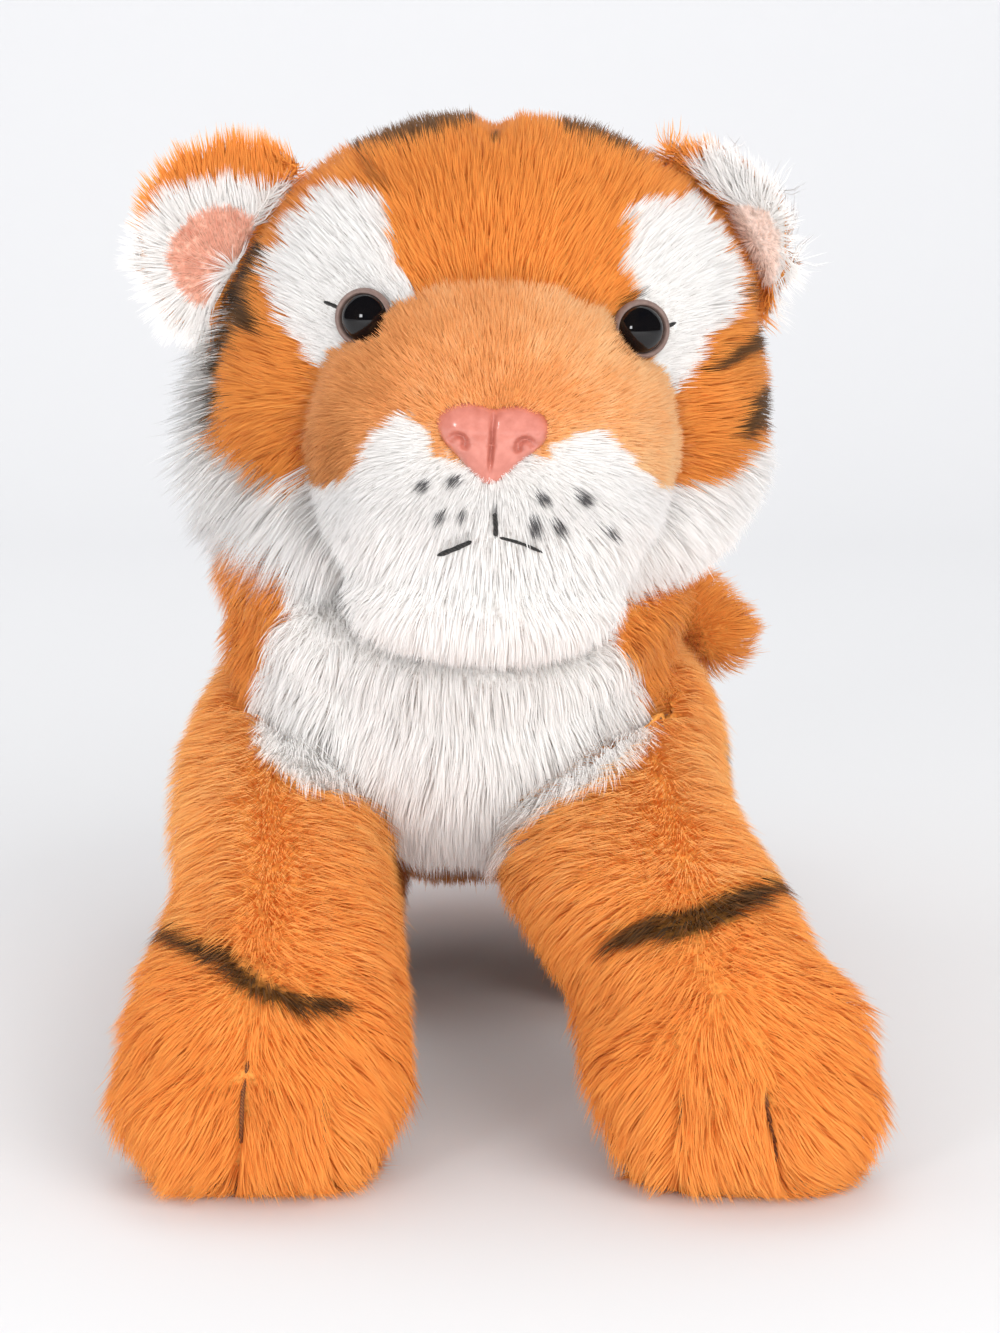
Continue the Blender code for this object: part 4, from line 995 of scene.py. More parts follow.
def stripes_of(body, spots, roots, normals, seed):
    """How dark the stripes are at each root, 0 to 1."""
    front = normals[:, 1] < FACING
    if body == "head":
        crown = front | (roots[:, 2] > 0.2)
        ahead = np.where(crown, stripe_strength(spots, roots, STRIPES_HEAD, seed), 0)
        return np.maximum(ahead, head_back_stripes(roots, seed + 3) * (normals[:, 1] > 0.0))
    if body in STRIPES_LEG:
        return np.where(front, stripe_strength(spots, roots, STRIPES_LEG[body], seed), 0)
    if body == "torso":
        return torso_stripes(roots, seed)
    if body.startswith("hind"):
        return limb_stripes(body, roots, normals, seed)
    if body == "tail":
        return tail_stripes(roots, seed)
    return np.zeros(len(roots))


# Where pile starts on its ramp: 0 is the dark end, 1 the pale end.
ORANGE_TONE = 0.60
WHITE_TONE = 0.86
FACE_TONE = 0.53
# Painted light on the front legs: their orange is lighter higher up and their white lighter than
# elsewhere, where the head and chest shade them.
PAW_TONE, LEG_PAINTED_LIGHT = 0.62, 0.24
LEG_WHITE_PAINTED_LIGHT = 0.97
PAD_SHADE = 0.34
TAN_TONE = 0.44
# Painted light and shade on the ear pink: the toy's left ear is lit, its right ear shaded.
PINK_LIT_AND_SHADED_TONE = {"ear_left": 0.90, "ear_right": 0.36}
# Painted shade in the grooves.
GROOVE_PAINTED_SHADE = 0.30
STRIPE_TONE = 0.07
SOOT, SOOT_TONE = 0.92, 0.06
LASH_RADIUS, LASH_HALF = 7.0 * MM, 0.9 * MM


def soot_of(kinds, ends, roots, normals, each):
    """How black the fibres are at the whiskers, the mouth's stitches and the eyes."""
    soot = np.zeros(len(roots))
    for x, y, r in WHISKERS:
        gap = np.hypot(ends[:, 0] - x, ends[:, 1] - y)
        soot = np.maximum(soot, 1 - smoothstep(r * 0.55, r * 1.35, gap))
    for line, strength in zip(MOUTH_LINES, (0.8, 0.75, 0.4)):
        gap, _ = line_distance(ends, line)
        soot = np.maximum(soot, strength * (1 - smoothstep(1.2, 3.6, gap)))
    soot *= (kinds == WHITE) & (normals[:, 1] < FACING)
    for name, share, hand in (("eye_left", 0.45, 1), ("eye_right", 0.14, -1)):
        offset, gap = from_eye(roots, name)
        lash = (np.abs(gap - LASH_RADIUS) < LASH_HALF) & (roots[:, 1] < EYES_FRONT_Y)
        lash &= (each * share > 0.2 * (1 - share)) & (offset[:, 0] * hand < 0.5 * MM)
        soot = np.maximum(soot, 0.85 * lash)
    return soot


def tones_of(body, kinds, spots, ends, roots, normals, rng, seed):
    """The place of each fibre on its ramp."""
    broad = noise(roots, 16 * MM, seed)
    fine = noise(roots, 3.5 * MM, seed + 1)
    each = rng.normal(0, 1, len(roots))
    orange = kinds == ORANGE
    tone = np.where(kinds == WHITE, WHITE_TONE, ORANGE_TONE)
    if body.startswith("front"):
        # Painted light: the front legs lighter towards the top, where the head and chest shade
        # them.
        leg = PAW_TONE + LEG_PAINTED_LIGHT * smoothstep(0.030, 0.075, roots[:, 2])
        tone = np.where(orange, leg, LEG_WHITE_PAINTED_LIGHT)
    if body == "head":
        tone = np.where(orange, FACE_TONE, tone)
        pads = hump(spots[:, 0], 495, 120) * hump(spots[:, 1], 505, 62)
        shade = PAD_SHADE * pads * (roots[:, 1] < -0.095)
        tone = np.where(kinds == WHITE, tone - shade, tone)
    tone = tone + 0.06 * broad + 0.05 * fine + 0.045 * each
    tan = kinds == TAN
    # Painted sheen: the tan muzzle is lighter towards the toy's left, where the light catches its
    # pile.
    across = smoothstep(310, 470, spots[:, 0]) * 0.26 + smoothstep(500, 660, spots[:, 0]) * 0.18
    bridge = hump(spots[:, 0], 500, 75) * hump(spots[:, 1], 385, 26)
    muzzle = TAN_TONE + across - 0.14 * bridge + 0.09 * broad + 0.10 * fine + 0.07 * each
    tone[tan] = muzzle[tan]
    pink = kinds == PINK
    # Painted light and shade: each ear's pink pile has its own tone.
    lit_and_shaded_pink = PINK_LIT_AND_SHADED_TONE.get(body, 0) + 0.12 * broad + 0.10 * fine + 0.08 * each
    tone[pink] = lit_and_shaded_pink[pink]
    # Painted shade along the grooves of the toes and the crown's seam.
    for line, _, reach in GROOVES.get(body, ()):
        gap, _ = line_distance(roots, line)
        tone = tone - GROOVE_PAINTED_SHADE * hump(gap, 0, 0.36 * reach)
    dark = stripes_of(body, spots, roots, normals, seed)
    dark = np.clip(dark * (0.86 + 0.1 * each), 0, 1) * orange
    tone = tone * (1 - dark) + dark * (STRIPE_TONE + 0.03 * each)
    if body == "head":
        soot = soot_of(kinds, ends, roots, normals, each)
        tone = tone * (1 - SOOT * soot) + SOOT * soot * SOOT_TONE
    return np.clip(tone, 0.012, 0.985)


def bezier(a, b, c, t):
    return (1 - t) ** 2 * a + 2 * t * (1 - t) * b + t**2 * c


# A fibre has two wide rows of vertices and a point: a quad and a triangle.
STEPS = (0.0, 0.52, 1.0)
WIDTHS = (1.0, 0.84, 0.0)
CORNERS = np.array((0, 1, 3, 2, 2, 3, 4))


def strands(name, material, roots, normals, facing, bends, tips, widths, tones, rng):
    """A mesh of thin tapering fibres, each a curved ribbon that faces away from the hide."""
    count = len(roots)
    lead = unit(tips - roots)
    out = unit(tangent(normals, lead) + 1e-6)
    turn = rng.uniform(-0.9, 0.9, count)[:, None]
    face = np.cos(turn) * out + np.sin(turn) * np.cross(lead, out)
    across = unit(np.cross(lead, face))
    shading = unit(0.85 * facing + 0.25 * face + 0.12 * rng.normal(0, 1, (count, 3)))
    points = np.empty((count, 5, 3))
    for row, (t, w) in enumerate(zip(STEPS, WIDTHS)):
        centre = bezier(roots, bends, tips, t)
        half = across * (widths * w * 0.5)[:, None]
        if row < 2:
            points[:, 2 * row] = centre - half
            points[:, 2 * row + 1] = centre + half
        else:
            points[:, 4] = centre
    points[:, :, 2] = np.maximum(points[:, :, 2], 0.3 * MM)
    loops = ((np.arange(count) * 5)[:, None] + CORNERS).astype(np.int32).ravel()
    starts = ((np.arange(count) * 7)[:, None] + np.array((0, 4))).astype(np.int32).ravel()
    mesh = bpy.data.meshes.new(name)
    mesh.vertices.add(count * 5)
    mesh.vertices.foreach_set("co", points.astype(np.float32).ravel())
    mesh.loops.add(len(loops))
    mesh.loops.foreach_set("vertex_index", loops)
    mesh.polygons.add(len(starts))
    mesh.polygons.foreach_set("loop_start", starts)
    uv = mesh.uv_layers.new(name="OFBake")
    along = np.array([0.02 + 0.96 * STEPS[k // 2] for k in range(5)])
    side = np.array((-1, 1, -1, 1, 0)) * 0.003
    spots = np.empty((count, 7, 2), np.float32)
    spots[:, :, 0] = tones[:, None] + side[CORNERS]
    spots[:, :, 1] = along[CORNERS]
    uv.data.foreach_set("uv", spots.ravel())
    mesh.update(calc_edges=True)
    free = mesh.attributes.new("custom_normal", "FLOAT_VECTOR", "POINT")
    free.data.foreach_set("vector", np.repeat(shading, 5, 0).astype(np.float32).ravel())
    mesh.materials.append(material)
    return new_object(name, mesh)


pile_materials = [pile_material(kind) for kind in KINDS]
backing = hide_material()
HIDE_TINTS = np.array(
    ((0.90, 0.39, 0.090), (0.93, 0.915, 0.90), (0.78, 0.36, 0.12), (0.98, 0.80, 0.72)), float
)
# Painted shade on the pink backing of the toy's right ear; the pink tint above serves as the lit
# copy on the left ear.
EAR_RIGHT_SHADED_PINK = (0.80, 0.46, 0.35)

# How densely roots are scattered, how far fibres stand up and how far they bow, by part.
BOOST = {"head": 3.2, "ear": 2.2}
STAND = {"front": 0.42, "hind": 0.42, "ear": 0.26}
RISE = {"ear": 0.45, "front": 0.8}
PLAIN_STAND = 0.90
CHEST_STAND = 0.8
PINK_SHARE = {"ear_left": 0.45, "ear_right": 0.7}
SHORT_PILE = 6 * MM
SOLE_TOP = 0.004

# Tufts lean the pile this way and that: their size in mm, their strength and their seed.
TUFTS = (11.0, 0.40, 20), (4.0, 0.24, 30)
LOOSE = 0.12
STRAY_SHARE, STRAY_MORE = 0.03, 1.2
LEADER_EVERY = 34
SHORT_PULL, PULL = 0.10, 0.24
# A fibre's bend and then its tip lie this far along it, and its middle this far up and along.
BEND, TIP = 0.46, 0.56
MIDDLE_UP, MIDDLE_ALONG = 0.35, 0.40


def scatter(hide, rng, boost):
    """Roots over the hide's bare places: points, normals and the vertices they belong to."""
    corners = hide.points[hide.faces]
    sides = corners[:, 1] - corners[:, 0], corners[:, 2] - corners[:, 0]
    areas = 0.5 * np.linalg.norm(np.cross(*sides), axis=1)
    total = areas.sum()
    count = int(total * DENSITY * boost)
    pick = np.searchsorted(np.cumsum(areas) / total, rng.random(count)).clip(0, len(areas) - 1)
    a, b = np.sqrt(rng.random(count)), rng.random(count)
    shares = np.stack((1 - a, a * (1 - b), a * b), 1)
    tri = hide.faces[pick]
    roots = (hide.points[tri] * shares[:, :, None]).sum(1)
    normals = unit((hide.normals[tri] * shares[:, :, None]).sum(1))
    owner = tri[np.arange(count), shares.argmax(1)]
    sole = (normals[:, 2] < -0.8) & (roots[:, 2] < SOLE_TOP)
    keep = ~hide.covered[owner] & ~sole
    return roots[keep], normals[keep], owner[keep]


def plan(hide, near, roots, normals, comb, seed):
    """Kinds and lengths of the fibres, and where their middles fall on the photograph."""
    body = hide.body
    kinds = hide.kinds[near]
    lengths = np.where(kinds == WHITE, WHITE_PILE, CHEEK_PILE) * MM

    def middles():
        up, along = (lengths * MIDDLE_UP)[:, None], (lengths * MIDDLE_ALONG)[:, None]
        return roots + normals * up + comb * along

    if body == "head":
        for _ in range(2):
            args = hide, near, middles(), roots, normals, lengths, kinds, seed
            kinds, lengths, spots = head_plan(*args)
    elif body.startswith("ear"):
        kinds, spots = ear_plan(hide, middles(), roots, normals, kinds, seed)
        upper = smoothstep(0.195, 0.212, roots[:, 2])
        behind = smoothstep(0.0, 0.4, normals[:, 1])
        orange = (EAR_PILE + EAR_TIP_MORE * upper) * (1 - behind) + EAR_BACK_PILE * behind
        inner = np.where(kinds == PINK, PINK_PILE, orange)
        lengths = np.where(kinds == WHITE, LINING_PILE[body], inner) * MM
    else:
        spots = fuzzy(pixels_of(middles()), roots, seed)
        kinds = chest_plan(body, kinds, spots, roots, normals)
        white = WHITE_PILE + BELLY_MORE * smoothstep(690, 770, spots[:, 1])
        lengths = np.where(kinds == WHITE, white, ORANGE_PILE) * MM
    if body.startswith("front"):
        lengths = lengths * (1 + PAW_MORE * smoothstep(0.045, 0.015, roots[:, 2]))
    for line, _, reach in GROOVES.get(body, ()):
        gap, _ = line_distance(roots, line)
        lengths = lengths * (0.45 + 0.55 * smoothstep(0.3 * reach, 1.6 * reach, gap))
    return kinds, lengths, spots


def facing_of(body, kinds, roots, normals):
    """The way that the fibres' shading faces: the hide's, turned a little to the light."""
    white = (kinds == WHITE)[:, None]
    if body == "head":
        ruff = ruff_weight(roots, normals)[:, None]
        low = smoothstep(0.145, 0.120, roots[:, 2])[:, None] * white
        return unit(normals + np.array((0.2, -1.3, 0.5)) * np.maximum(ruff, 0.9 * low))
    if body == "torso":
        return unit(normals + np.array((0.0, -0.9, 0.6)) * white)
    if body.startswith("ear"):
        aside = 0.1 if body == "ear_left" else 0.0
        return unit(0.5 * normals + np.array((aside, -1.0, 0.35)))
    if body.startswith("front"):
        plain, more = np.array((0.0, -0.5, 0.5)), np.array((0.0, -0.6, 0.2))
        return unit(normals + plain + more * white)
    return normals


def gather(roots, tips, pull):
    """Draws the tips towards those of their nearest leaders, which makes tufts."""
    tree = KDTree(len(roots) // LEADER_EVERY + 1)
    for i in range(0, len(roots), LEADER_EVERY):
        tree.insert(Vector(roots[i]), i)
    tree.balance()
    leader = np.array([tree.find(p)[1] for p in roots.tolist()])
    gathered = tips[leader] + (roots - roots[leader]) * 0.3
    return tips * (1 - pull) + gathered * pull


def grow(body):
    """Dresses a body in its pile and hands over its hide. Returns the number of fibres."""
    hide = hides[body]
    part = body.split("_")[0]
    seed = 100 * (1 + BODY_NUMBERS[body])
    rng = np.random.default_rng(seed)
    boost = BOOST.get(part, 1.0)
    roots, normals, owner = scatter(hide, rng, boost)
    near = hide.near[owner]
    comb = combed(body, roots, normals)
    kinds, lengths, spots = plan(hide, near, roots, normals, comb, seed)
    facing = facing_of(body, kinds, roots, normals)
    short = lengths < SHORT_PILE
    wanted = np.where(kinds == PINK, PINK_SHARE.get(body, 1.0), 1.0)
    if body == "head":
        wanted = np.where(short, 1.0, 1.0 / boost)
    keep = (rng.random(len(roots)) < wanted) & (lengths > 0)
    roots, normals, kinds, lengths, comb, spots, facing, short = (
        v[keep] for v in (roots, normals, kinds, lengths, comb, spots, facing, short)
    )
    count = len(roots)
    stray = 0.0 if part == "ear" else STRAY_SHARE
    lengths = lengths * rng.uniform(0.74, 1.08, count)
    lengths = lengths * np.where(rng.random(count) < stray, STRAY_MORE, 1.0)
    calm = 0.5 if part == "ear" else 1.0
    tuft = sum(noise_vectors(roots, size * MM, seed + n) * lean for size, lean, n in TUFTS)
    loose = rng.normal(0, LOOSE, (count, 3)) * np.where(kinds == TAN, 2.0, 1.0)[:, None]
    tuft = tuft * calm * np.where(short, 0.55, 1.0)[:, None] + calm * loose
    stand = np.full(count, STAND.get(part, PLAIN_STAND))
    if part == "front":
        stand[kinds == WHITE] = CHEST_STAND
        side = np.sign(roots[:, 0] - TORSO_MIDDLE)
        hang = np.stack((0.25 * side, -0.62 + 0 * side, -0.75 + 0 * side), 1)
        comb = np.where((kinds == WHITE)[:, None], hang, comb)
        tuft = tuft * 0.75
    if body == "torso":
        stand = stand * (1 - 0.6 * ledge_weight(roots, normals))
    lead = unit(normals * stand[:, None] + comb * 0.9 + tuft)
    droop = unit(lead + comb * 0.6 - UP * 0.10)
    bow = unit(normals * RISE.get(part, 1.0) + 0.45 * lead)
    bends = roots + bow * (lengths * BEND)[:, None]
    tips = bends + droop * (lengths * TIP)[:, None]
    pull = (np.where(short, SHORT_PULL, PULL) * rng.uniform(0.3, 1.3, count))[:, None]
    tips = gather(roots, tips, pull)
    tones = tones_of(body, kinds, spots, pixels_of(tips), roots, normals, rng, seed + 7)
    widths = STRAND_WIDTH * np.where(short, 0.66, 1.0) * rng.uniform(0.75, 1.25, count)
    for kind, (word, slot) in enumerate(zip(KINDS, SLOTS)):
        mine = kinds == kind
        if mine.any():
            shape = (v[mine] for v in (roots, normals, facing, bends, tips, widths, tones))
            piece = strands(f"{body}_pile_{word}", pile_materials[kind], *shape, rng)
            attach(piece, body)
    tint_hide(hide, seed)
    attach(hide.obj, body)
    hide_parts(*PELTS[body])
    return count


def tint_hide(hide, seed):
    """Colours the backing like the pile over it, with painted shade where another hide covers it.
    """
    kinds = hide.kinds[hide.near]
    points, normals = hide.points, hide.normals
    spots = pixels_of(points)
    lengths = np.full(len(points), 0.01)
    if hide.body == "head":
        args = hide, hide.near, points, points, normals, lengths, kinds, seed
        kinds, _, spots = head_plan(*args)
    elif hide.body.startswith("ear"):
        kinds, spots = ear_plan(hide, points, points, normals, kinds, seed)
    else:
        kinds = chest_plan(hide.body, kinds, spots, points, normals)
    rng = np.random.default_rng(seed + 5)
    tones = tones_of(hide.body, kinds, spots, spots, points, normals, rng, seed + 7)
    dark = smoothstep(0.45, 0.1, tones) * (kinds == ORANGE)
    tints = HIDE_TINTS[kinds] * (1 - 0.85 * dark[:, None])
    # Painted shade on the toy's right ear's pink backing.
    if hide.body == "ear_right":
        tints[kinds == PINK] = EAR_RIGHT_SHADED_PINK
    colours = np.ones((len(points), 4), np.float32)
    # Painted shade in the sockets, where another hide covers the backing.
    colours[:, :3] = tints * np.where(hide.covered, 0.5, 1.0)[:, None]
    layer = hide.obj.data.color_attributes.new("tint", "FLOAT_COLOR", "POINT")
    layer.data.foreach_set("color", colours.ravel())
    hide.obj.data.materials.clear()
    hide.obj.data.materials.append(backing)


print("scene: strands", sum(grow(body) for body in PELTS), flush=True)


def lathe(name, profile, spot, axis, turns=48):
    """A turned piece: profile is (radius, height) from the middle of the front outwards."""
    axis = Vector(axis).normalized()
    side = axis.cross(Vector((0, 0, 1))).normalized()
    up = side.cross(axis)
    rows = []
    for radius, height in profile:
        middle = Vector(spot) + axis * height
        ring = []
        for k in range(turns if radius else 1):
            angle = 2 * math.pi * k / turns
            ring.append(middle + (side * math.cos(angle) + up * math.sin(angle)) * radius)
        rows.append(ring)
    starts = np.cumsum([0] + [len(ring) for ring in rows])
    faces = []
    for row in range(len(rows) - 1):
        one, two = len(rows[row]) > 1, len(rows[row + 1]) > 1
        for k in range(turns):
            n = (k + 1) % turns
            a = starts[row] + (k if one else 0)
            b = starts[row] + (n if one else 0)
            c = starts[row + 1] + (n if two else 0)
            d = starts[row + 1] + (k if two else 0)
            faces.append([v for i, v in enumerate((a, d, c, b)) if v not in (a, d, c, b)[:i]])
    obj = object_of(name, [p for ring in rows for p in ring], faces)
    bm = bmesh.new()
    bm.from_mesh(obj.data)
    bmesh.ops.recalc_face_normals(bm, faces=bm.faces)
    bm.to_mesh(obj.data)
    bm.free()
    shade_smooth(obj)
    return obj


def axis_of(name):
    """The direction in which a flat round CAD node faces, towards the front."""
    points, _ = mesh_arrays(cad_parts[name].data)
    middle = points.mean(0)
    _, _, rows = np.linalg.svd(points - middle)
    axis = Vector(rows[2])
    return axis if axis.y < 0 else -axis


EYE_RADIUS = 5.35
EYE_HEIGHT = 4.4
EYE_BACK = -2.5
EYE_OUT = 0.8
RIM_SHIFT = 0.45
RIM_PROFILE = (
    (5.0, 0.1), (5.25, 0.95), (5.65, 1.15), (6.05, 0.90), (6.35, 0.35),
    (6.5, -0.5), (6.3, -1.6), (5.0, -1.6), (5.0, 0.1),
)
black = plastic_material(
    "eye_black", ((0.003, 0.003, 0.004), (0.006, 0.005, 0.005)), 0.04, 0.0, 0.01, 300.0, 0.34
)
brown = plastic_material(
    "rim_brown", ((0.150, 0.096, 0.082), (0.210, 0.145, 0.125)), 0.5, 0.0, 0.10, 700.0
)
salmon = plastic_material(
    "nose_pink", ((0.430, 0.132, 0.095), (0.530, 0.185, 0.140)), 0.34, 0.5, 0.60, 420.0
)
pale = plastic_material(
    "washer_white", ((0.640, 0.640, 0.620), (0.740, 0.740, 0.720)), 0.5, 0.0, 0.1, 400.0
)
black_thread = thread_material("black_thread", ((0.006, 0.006, 0.006), (0.030, 0.028, 0.026)))
brown_thread = thread_material("brown_thread", ((0.110, 0.038, 0.010), (0.260, 0.095, 0.026)))

dome = []
for k in range(13):
    angle = math.pi / 2 * k / 12
    dome.append((EYE_RADIUS * MM * math.sin(angle), EYE_HEIGHT * MM * math.cos(angle)))
dome += [(EYE_RADIUS * MM, EYE_BACK * MM), (0.0, EYE_BACK * MM)]
for side in SIDES:
    axis = axis_of("eye_rim_" + side)
    middle = Vector(box_middle("eye_rim_" + side))
    spot = middle + axis * EYE_OUT * MM
    outward = Vector((1 if side == "left" else -1, 0, 0)).cross(axis).cross(axis) * -1
    eye = lathe("eye_dome_" + side, dome, spot, axis)
    wear(eye, black, "head", "eye_" + side)
    profile = [(radius * MM, height * MM) for radius, height in RIM_PROFILE]
    rim = lathe("eye_ring_" + side, profile, spot + outward.normalized() * RIM_SHIFT * MM, axis)
    wear(rim, brown, "head", "eye_rim_" + side)

for name in ("eye_washer_left", "eye_washer_right", "nose_washer"):
    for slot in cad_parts[name].material_slots:
        slot.material = pale


# The pixels of the nose and mouth are placed at one depth, and those of the eyes at another.
MUZZLE_Y = -0.128
EYES_Y = -0.095


def surface_y(x, z, fallback=-0.12):
    """The y of the head's hide in front of this place."""
    spot = hides["head"].tree.ray_cast(Vector((x, -0.3, z)), Vector((0, 1, 0)))[0]
    return spot.y if spot is not None else fallback


NOSE_OUTLINE = (
    (0.00, -1.00), (0.16, -0.93), (0.36, -0.68), (0.58, -0.36), (0.82, -0.06), (0.97, 0.24),
    (1.00, 0.50), (0.93, 0.74), (0.74, 0.92), (0.48, 1.00), (0.22, 0.98), (0.00, 0.90),
)
NOSE_HALF = 11.9 * MM
NOSE_HIGH = 8.5 * MM
NOSE_TURN = math.radians(4)
NOSE_RINGS = 26
NOSE_FINE = 8


def nose_point(x, z, edge):
    """Height of the nose over the muzzle at a place given in half widths and half heights."""
    crown = (4.6 - 1.6 * max(0.0, -z) ** 1.5) * MM * (1 - edge**2.6) ** 0.55
    groove = 1.6 * MM * math.exp(-((x / 0.045) ** 2)) * min(1.0, max(0.0, (z + 0.85) / 0.5))
    nostril = 0.0
    for k in range(9):
        angle = math.radians(20 + 23 * k)
        px = abs(x) - (0.60 + 0.135 * math.cos(angle))
        pz = z - (0.02 + 0.19 * math.sin(angle))
        nostril = max(nostril, math.exp(-(px * px + (pz * 0.75) ** 2) / 0.0032))
    return crown - (groove + 2.8 * MM * nostril) * (1 - edge**3)


def make_nose():
    """The moulded nose: rings of its outline, raised over the muzzle, with a short wall behind."""
    middle = place_of(NOSE_MIDDLE, MUZZLE_Y)
    right = [Vector(p) for p in NOSE_OUTLINE]
    outline = right + [Vector((-p.x, p.y)) for p in reversed(right[1:-1])]
    loop = []
    for k in range(len(outline)):
        around = [outline[(k + j) % len(outline)] for j in (-1, 0, 1, 2)]
        loop += [curve_point(*around, s / NOSE_FINE) for s in range(NOSE_FINE)]
    bm = bmesh.new()
    rows = []
    for ring in range(NOSE_RINGS + 1):
        edge = ring / NOSE_RINGS
        row = []
        for p in loop if ring else loop[:1]:
            x, z = p.x * edge, p.y * edge
            across, rise = x * NOSE_HALF, z * NOSE_HIGH
            wx = middle.x + across * math.cos(NOSE_TURN) + rise * math.sin(NOSE_TURN)
            wz = middle.z - across * math.sin(NOSE_TURN) + rise * math.cos(NOSE_TURN)
            y = surface_y(wx, wz) - 0.4 * MM - nose_point(x, z, min(edge, 0.9999))
            row.append(bm.verts.new((wx, y, wz)))
        rows.append(row)
    back = [bm.verts.new((v.co.x, v.co.y + 2.5 * MM, v.co.z)) for v in rows[-1]]
    rows.append(back)
    for k in range(len(loop)):
        n = (k + 1) % len(loop)
        bm.faces.new((rows[0][0], rows[1][n], rows[1][k]))
        for one, two in zip(rows[1:-1], rows[2:]):
            bm.faces.new((one[k], one[n], two[n], two[k]))
    bm.faces.new(back)
    bmesh.ops.recalc_face_normals(bm, faces=bm.faces)
    obj = object_from("nose_moulding", bm)
    relax(obj, 3)
    shade_smooth(obj, 4)
    wear(obj, salmon, "head", "nose")


make_nose()


def tube(node, line, radius, material, body, sides=10):
    """A round thread along a smoothed line, in the place of this node."""
    points = [Vector(p) for p in line]
    last = len(points) - 1
    smooth = []
    for k in range(last):
        around = points[max(k - 1, 0)], points[k], points[k + 1], points[min(k + 2, last)]
        smooth += [curve_point(*around, s / 5) for s in range(5)]
    smooth.append(points[-1])
    last = len(smooth) - 1
    bm = bmesh.new()
    rows = []
    for k, p in enumerate(smooth):
        along = (smooth[min(k + 1, last)] - smooth[max(k - 1, 0)]).normalized()
        side = along.cross(Vector((0, 1, 0.2))).normalized()
        up = along.cross(side)
        end = min(1.0, min(k, last - k) / 2 + 0.35)
        twist = 1.0 + 0.10 * math.sin(k * 1.9)
        reach = radius * end * twist
        row = []
        for s in range(sides):
            angle = 2 * math.pi * s / sides + k * 0.5
            row.append(bm.verts.new(p + (side * math.cos(angle) + up * math.sin(angle)) * reach))
        rows.append(row)
    for one, two in zip(rows, rows[1:]):
        for s in range(sides):
            n = (s + 1) % sides
            bm.faces.new((one[s], one[n], two[n], two[s]))
    bm.faces.new(rows[0])
    bm.faces.new(rows[-1])
    bmesh.ops.recalc_face_normals(bm, faces=bm.faces)
    obj = object_from(node.replace("thread", "stitch"), bm)
    shade_smooth(obj, 4)
    wear(obj, material, body, node)


def on_face(pixels, lift, y):
    """The line on the head's hide under these pixels, lifted off it."""
    spots = [place_of(pixel, y) for pixel in pixels]
    return [(spot.x, surface_y(spot.x, spot.z) - lift, spot.z) for spot in spots]


# The stitches of the face: node, line, depth of its pixels, lift and radius in mm.
for node, line, y, lift, radius in (
    ("mouth_thread_centre", MOUTH_LINES[0], MUZZLE_Y, 2.6, 0.54),
    ("mouth_thread_right", MOUTH_LINES[1], MUZZLE_Y, 3.6, 0.55),
    ("mouth_thread_left", MOUTH_LINES[2], MUZZLE_Y, 3.1, 0.36),
    ("eye_thread_left", EYE_LINES[0], EYES_Y, 3.4, 0.44),
    ("eye_thread_right", EYE_LINES[1], EYES_Y, 3.4, 0.44),
):
    tube(node, on_face(line, lift * MM, y), radius * MM, black_thread, "head")


def on_paw(body, line, lift):
    """The line on a paw's hide, lifted towards the front."""
    tree = hides[body].tree
    made = []
    for x, y, z in line:
        spot = tree.ray_cast(Vector((x, -0.3, max(z, 0.003))), Vector((0, 1, 0)))[0]
        if spot is None:
            spot = tree.find_nearest(Vector((x, y, z)))[0]
        made.append(tuple(spot + Vector((0, -1, 0)) * lift))
    return made


TOE_LIFT = 0.6 * MM
TOE_RADIUS = 0.45 * MM
for body, lines in TOE_LINES.items():
    numbers = (2, 1) if body == "front_leg_left" else (1, 2)
    for line, number in zip(lines, numbers):
        node = f"toe_thread_{body.replace('_leg', '')}_{number}"
        tube(node, on_paw(body, line, TOE_LIFT), TOE_RADIUS, brown_thread, body)


# The paper's colour as it lights the toy, and as the camera sees it near by and far off.
PAPER_LIT = ((0.3, (0.86, 0.86, 0.87)), (0.7, (0.88, 0.88, 0.89)))
PAPER_SEEN = ((0.0, (0.695, 0.695, 0.70)), (1.0, (0.75, 0.75, 0.762)))
PAPER_NEAR_Y, PAPER_FAR_Y = 0.1, 1.6
PAPER_FRONT, PAPER_BEND, PAPER_TOP, PAPER_HALF = -2.5, 0.9, 4.0, 4.0


def floor_material():
    material, tree, out = shader("studio_paper")
    grain = texture(tree, "TexNoise", Scale=2.0)
    lit = ramp_node(tree, PAPER_LIT, grain.outputs["Fac"])
    place = node_of(tree, "TexCoord")
    split = node_of(tree, "SeparateXYZ")
    tree.links.new(place.outputs["Object"], split.inputs[0])
    reach = node_of(tree, "MapRange", From_Min=PAPER_NEAR_Y, From_Max=PAPER_FAR_Y)
    tree.links.new(split.outputs["Y"], reach.inputs["Value"])
    seen = ramp_node(tree, PAPER_SEEN, reach.outputs["Result"])
    rays = node_of(tree, "LightPath")
    mix = node_of(tree, "Mix")
    mix.data_type = "RGBA"
    tree.links.new(rays.outputs["Is Camera Ray"], mix.inputs["Factor"])
    tree.links.new(lit, mix.inputs[6])
    tree.links.new(seen, mix.inputs[7])
    surface(tree, out, mix.outputs[2], Roughness=0.9, Specular_IOR_Level=0.1)
    return material


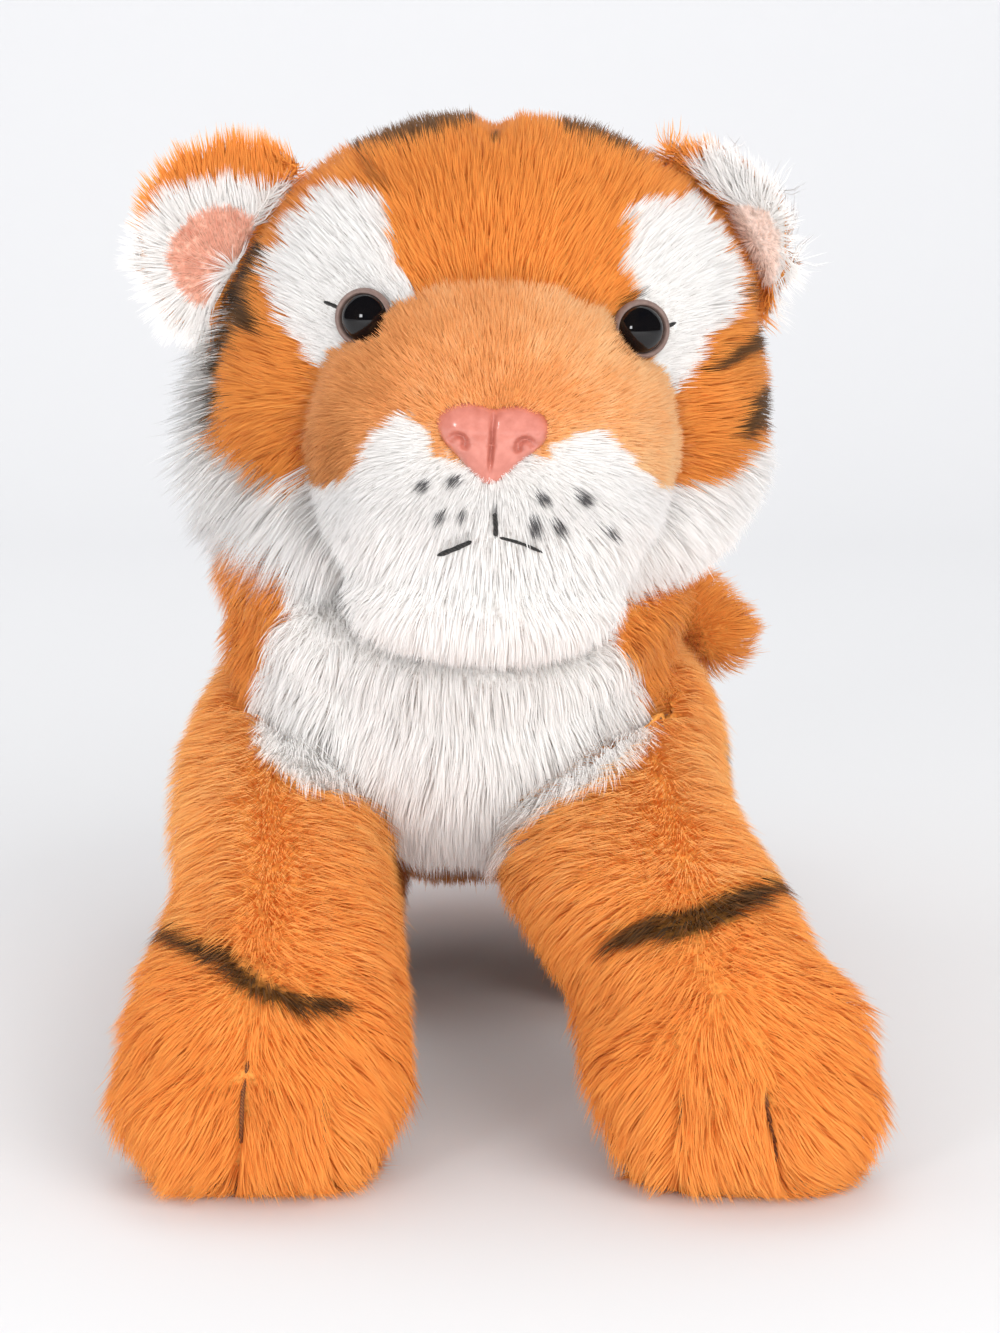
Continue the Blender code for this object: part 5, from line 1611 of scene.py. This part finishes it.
def make_stage():
    """Paper that runs flat under the toy and bends up far behind it."""
    profile = [(PAPER_FRONT, 0.0), (PAPER_BEND, 0.0)]
    for k in range(1, 17):
        angle = math.pi / 2 * k / 16
        across, up = math.sin(angle), 1 - math.cos(angle)
        profile.append((PAPER_BEND + PAPER_BEND * across, PAPER_BEND * up))
    profile.append((2 * PAPER_BEND, PAPER_TOP))
    bm = bmesh.new()
    rows = [[bm.verts.new((x, y, z)) for x in (-PAPER_HALF, PAPER_HALF)] for y, z in profile]
    for one, two in zip(rows, rows[1:]):
        bm.faces.new((one[0], one[1], two[1], two[0]))
    obj = object_from("paper_sweep", bm)
    shade_smooth(obj)
    obj.data.materials.append(floor_material())


make_stage()


def area_light(name, place, target, size, power, colour, mirrored=False):
    data = bpy.data.lights.new(name, "AREA")
    data.shape = "RECTANGLE"
    data.size, data.size_y = size
    data.energy = power
    data.color = colour
    obj = new_object(name, data)
    obj.location = place
    aim = Vector(target) - Vector(place)
    obj.rotation_euler = aim.to_track_quat("-Z", "Y").to_euler()
    obj.visible_glossy = mirrored


# Lamps: place, target, size in metres, power in watts and colour. Only the fill is mirrored.
area_light("key", (0.70, -1.20, 0.95), (0, -0.05, 0.11), (0.9, 0.9), 9.0, (1.0, 0.985, 0.96))
area_light(
    "fill", (-0.62, -1.30, 0.45), (0, -0.05, 0.12), (0.26, 0.26), 4.5, (0.98, 0.99, 1.0), True
)
area_light("side", (-1.35, 0.45, 0.40), (0, 0.0, 0.08), (0.9, 0.6), 4.0, (1.0, 1.0, 1.0))
area_light("front", (0.30, -1.65, 0.48), (0, -0.05, 0.08), (1.7, 0.7), 14.5, (1.0, 0.99, 0.97))
area_light("top", (0.0, 0.5, 1.6), (0, 0.3, 0.1), (1.4, 1.4), 7.0, (1.0, 1.0, 1.0))

SKY_COLOUR = (0.97, 0.98, 1.0, 1.0)
SKY_STRENGTH = 0.80
world = bpy.data.worlds.new("studio")
bpy.context.scene.world = world
world.use_nodes = True
sky = world.node_tree.nodes["Background"]
sky.inputs["Color"].default_value = SKY_COLOUR
sky.inputs["Strength"].default_value = SKY_STRENGTH
world.cycles_visibility.glossy = False

CAMERA_PITCH = math.radians(9.58)
CAMERA_SHIFT = 0.5 * MM
CAMERA_ZOOM = 1.02
SENSOR = 36.0
FRAME_HEIGHT = 1333.0
camera_data = bpy.data.cameras.new("camera")
camera_data.sensor_width = SENSOR
camera_data.lens = VIEW_PIXELS * SENSOR / FRAME_HEIGHT * CAMERA_ZOOM
camera_data.clip_start = 0.01
camera_data.clip_end = 20.0
camera = new_object("camera", camera_data)
camera.location = (VIEW_X + CAMERA_SHIFT, -VIEW_Y, VIEW_Z)
camera.rotation_euler = (math.pi / 2 - CAMERA_PITCH, 0.0, 0.0)
bpy.context.scene.camera = camera

bpy.context.scene.view_settings.view_transform = "Standard"
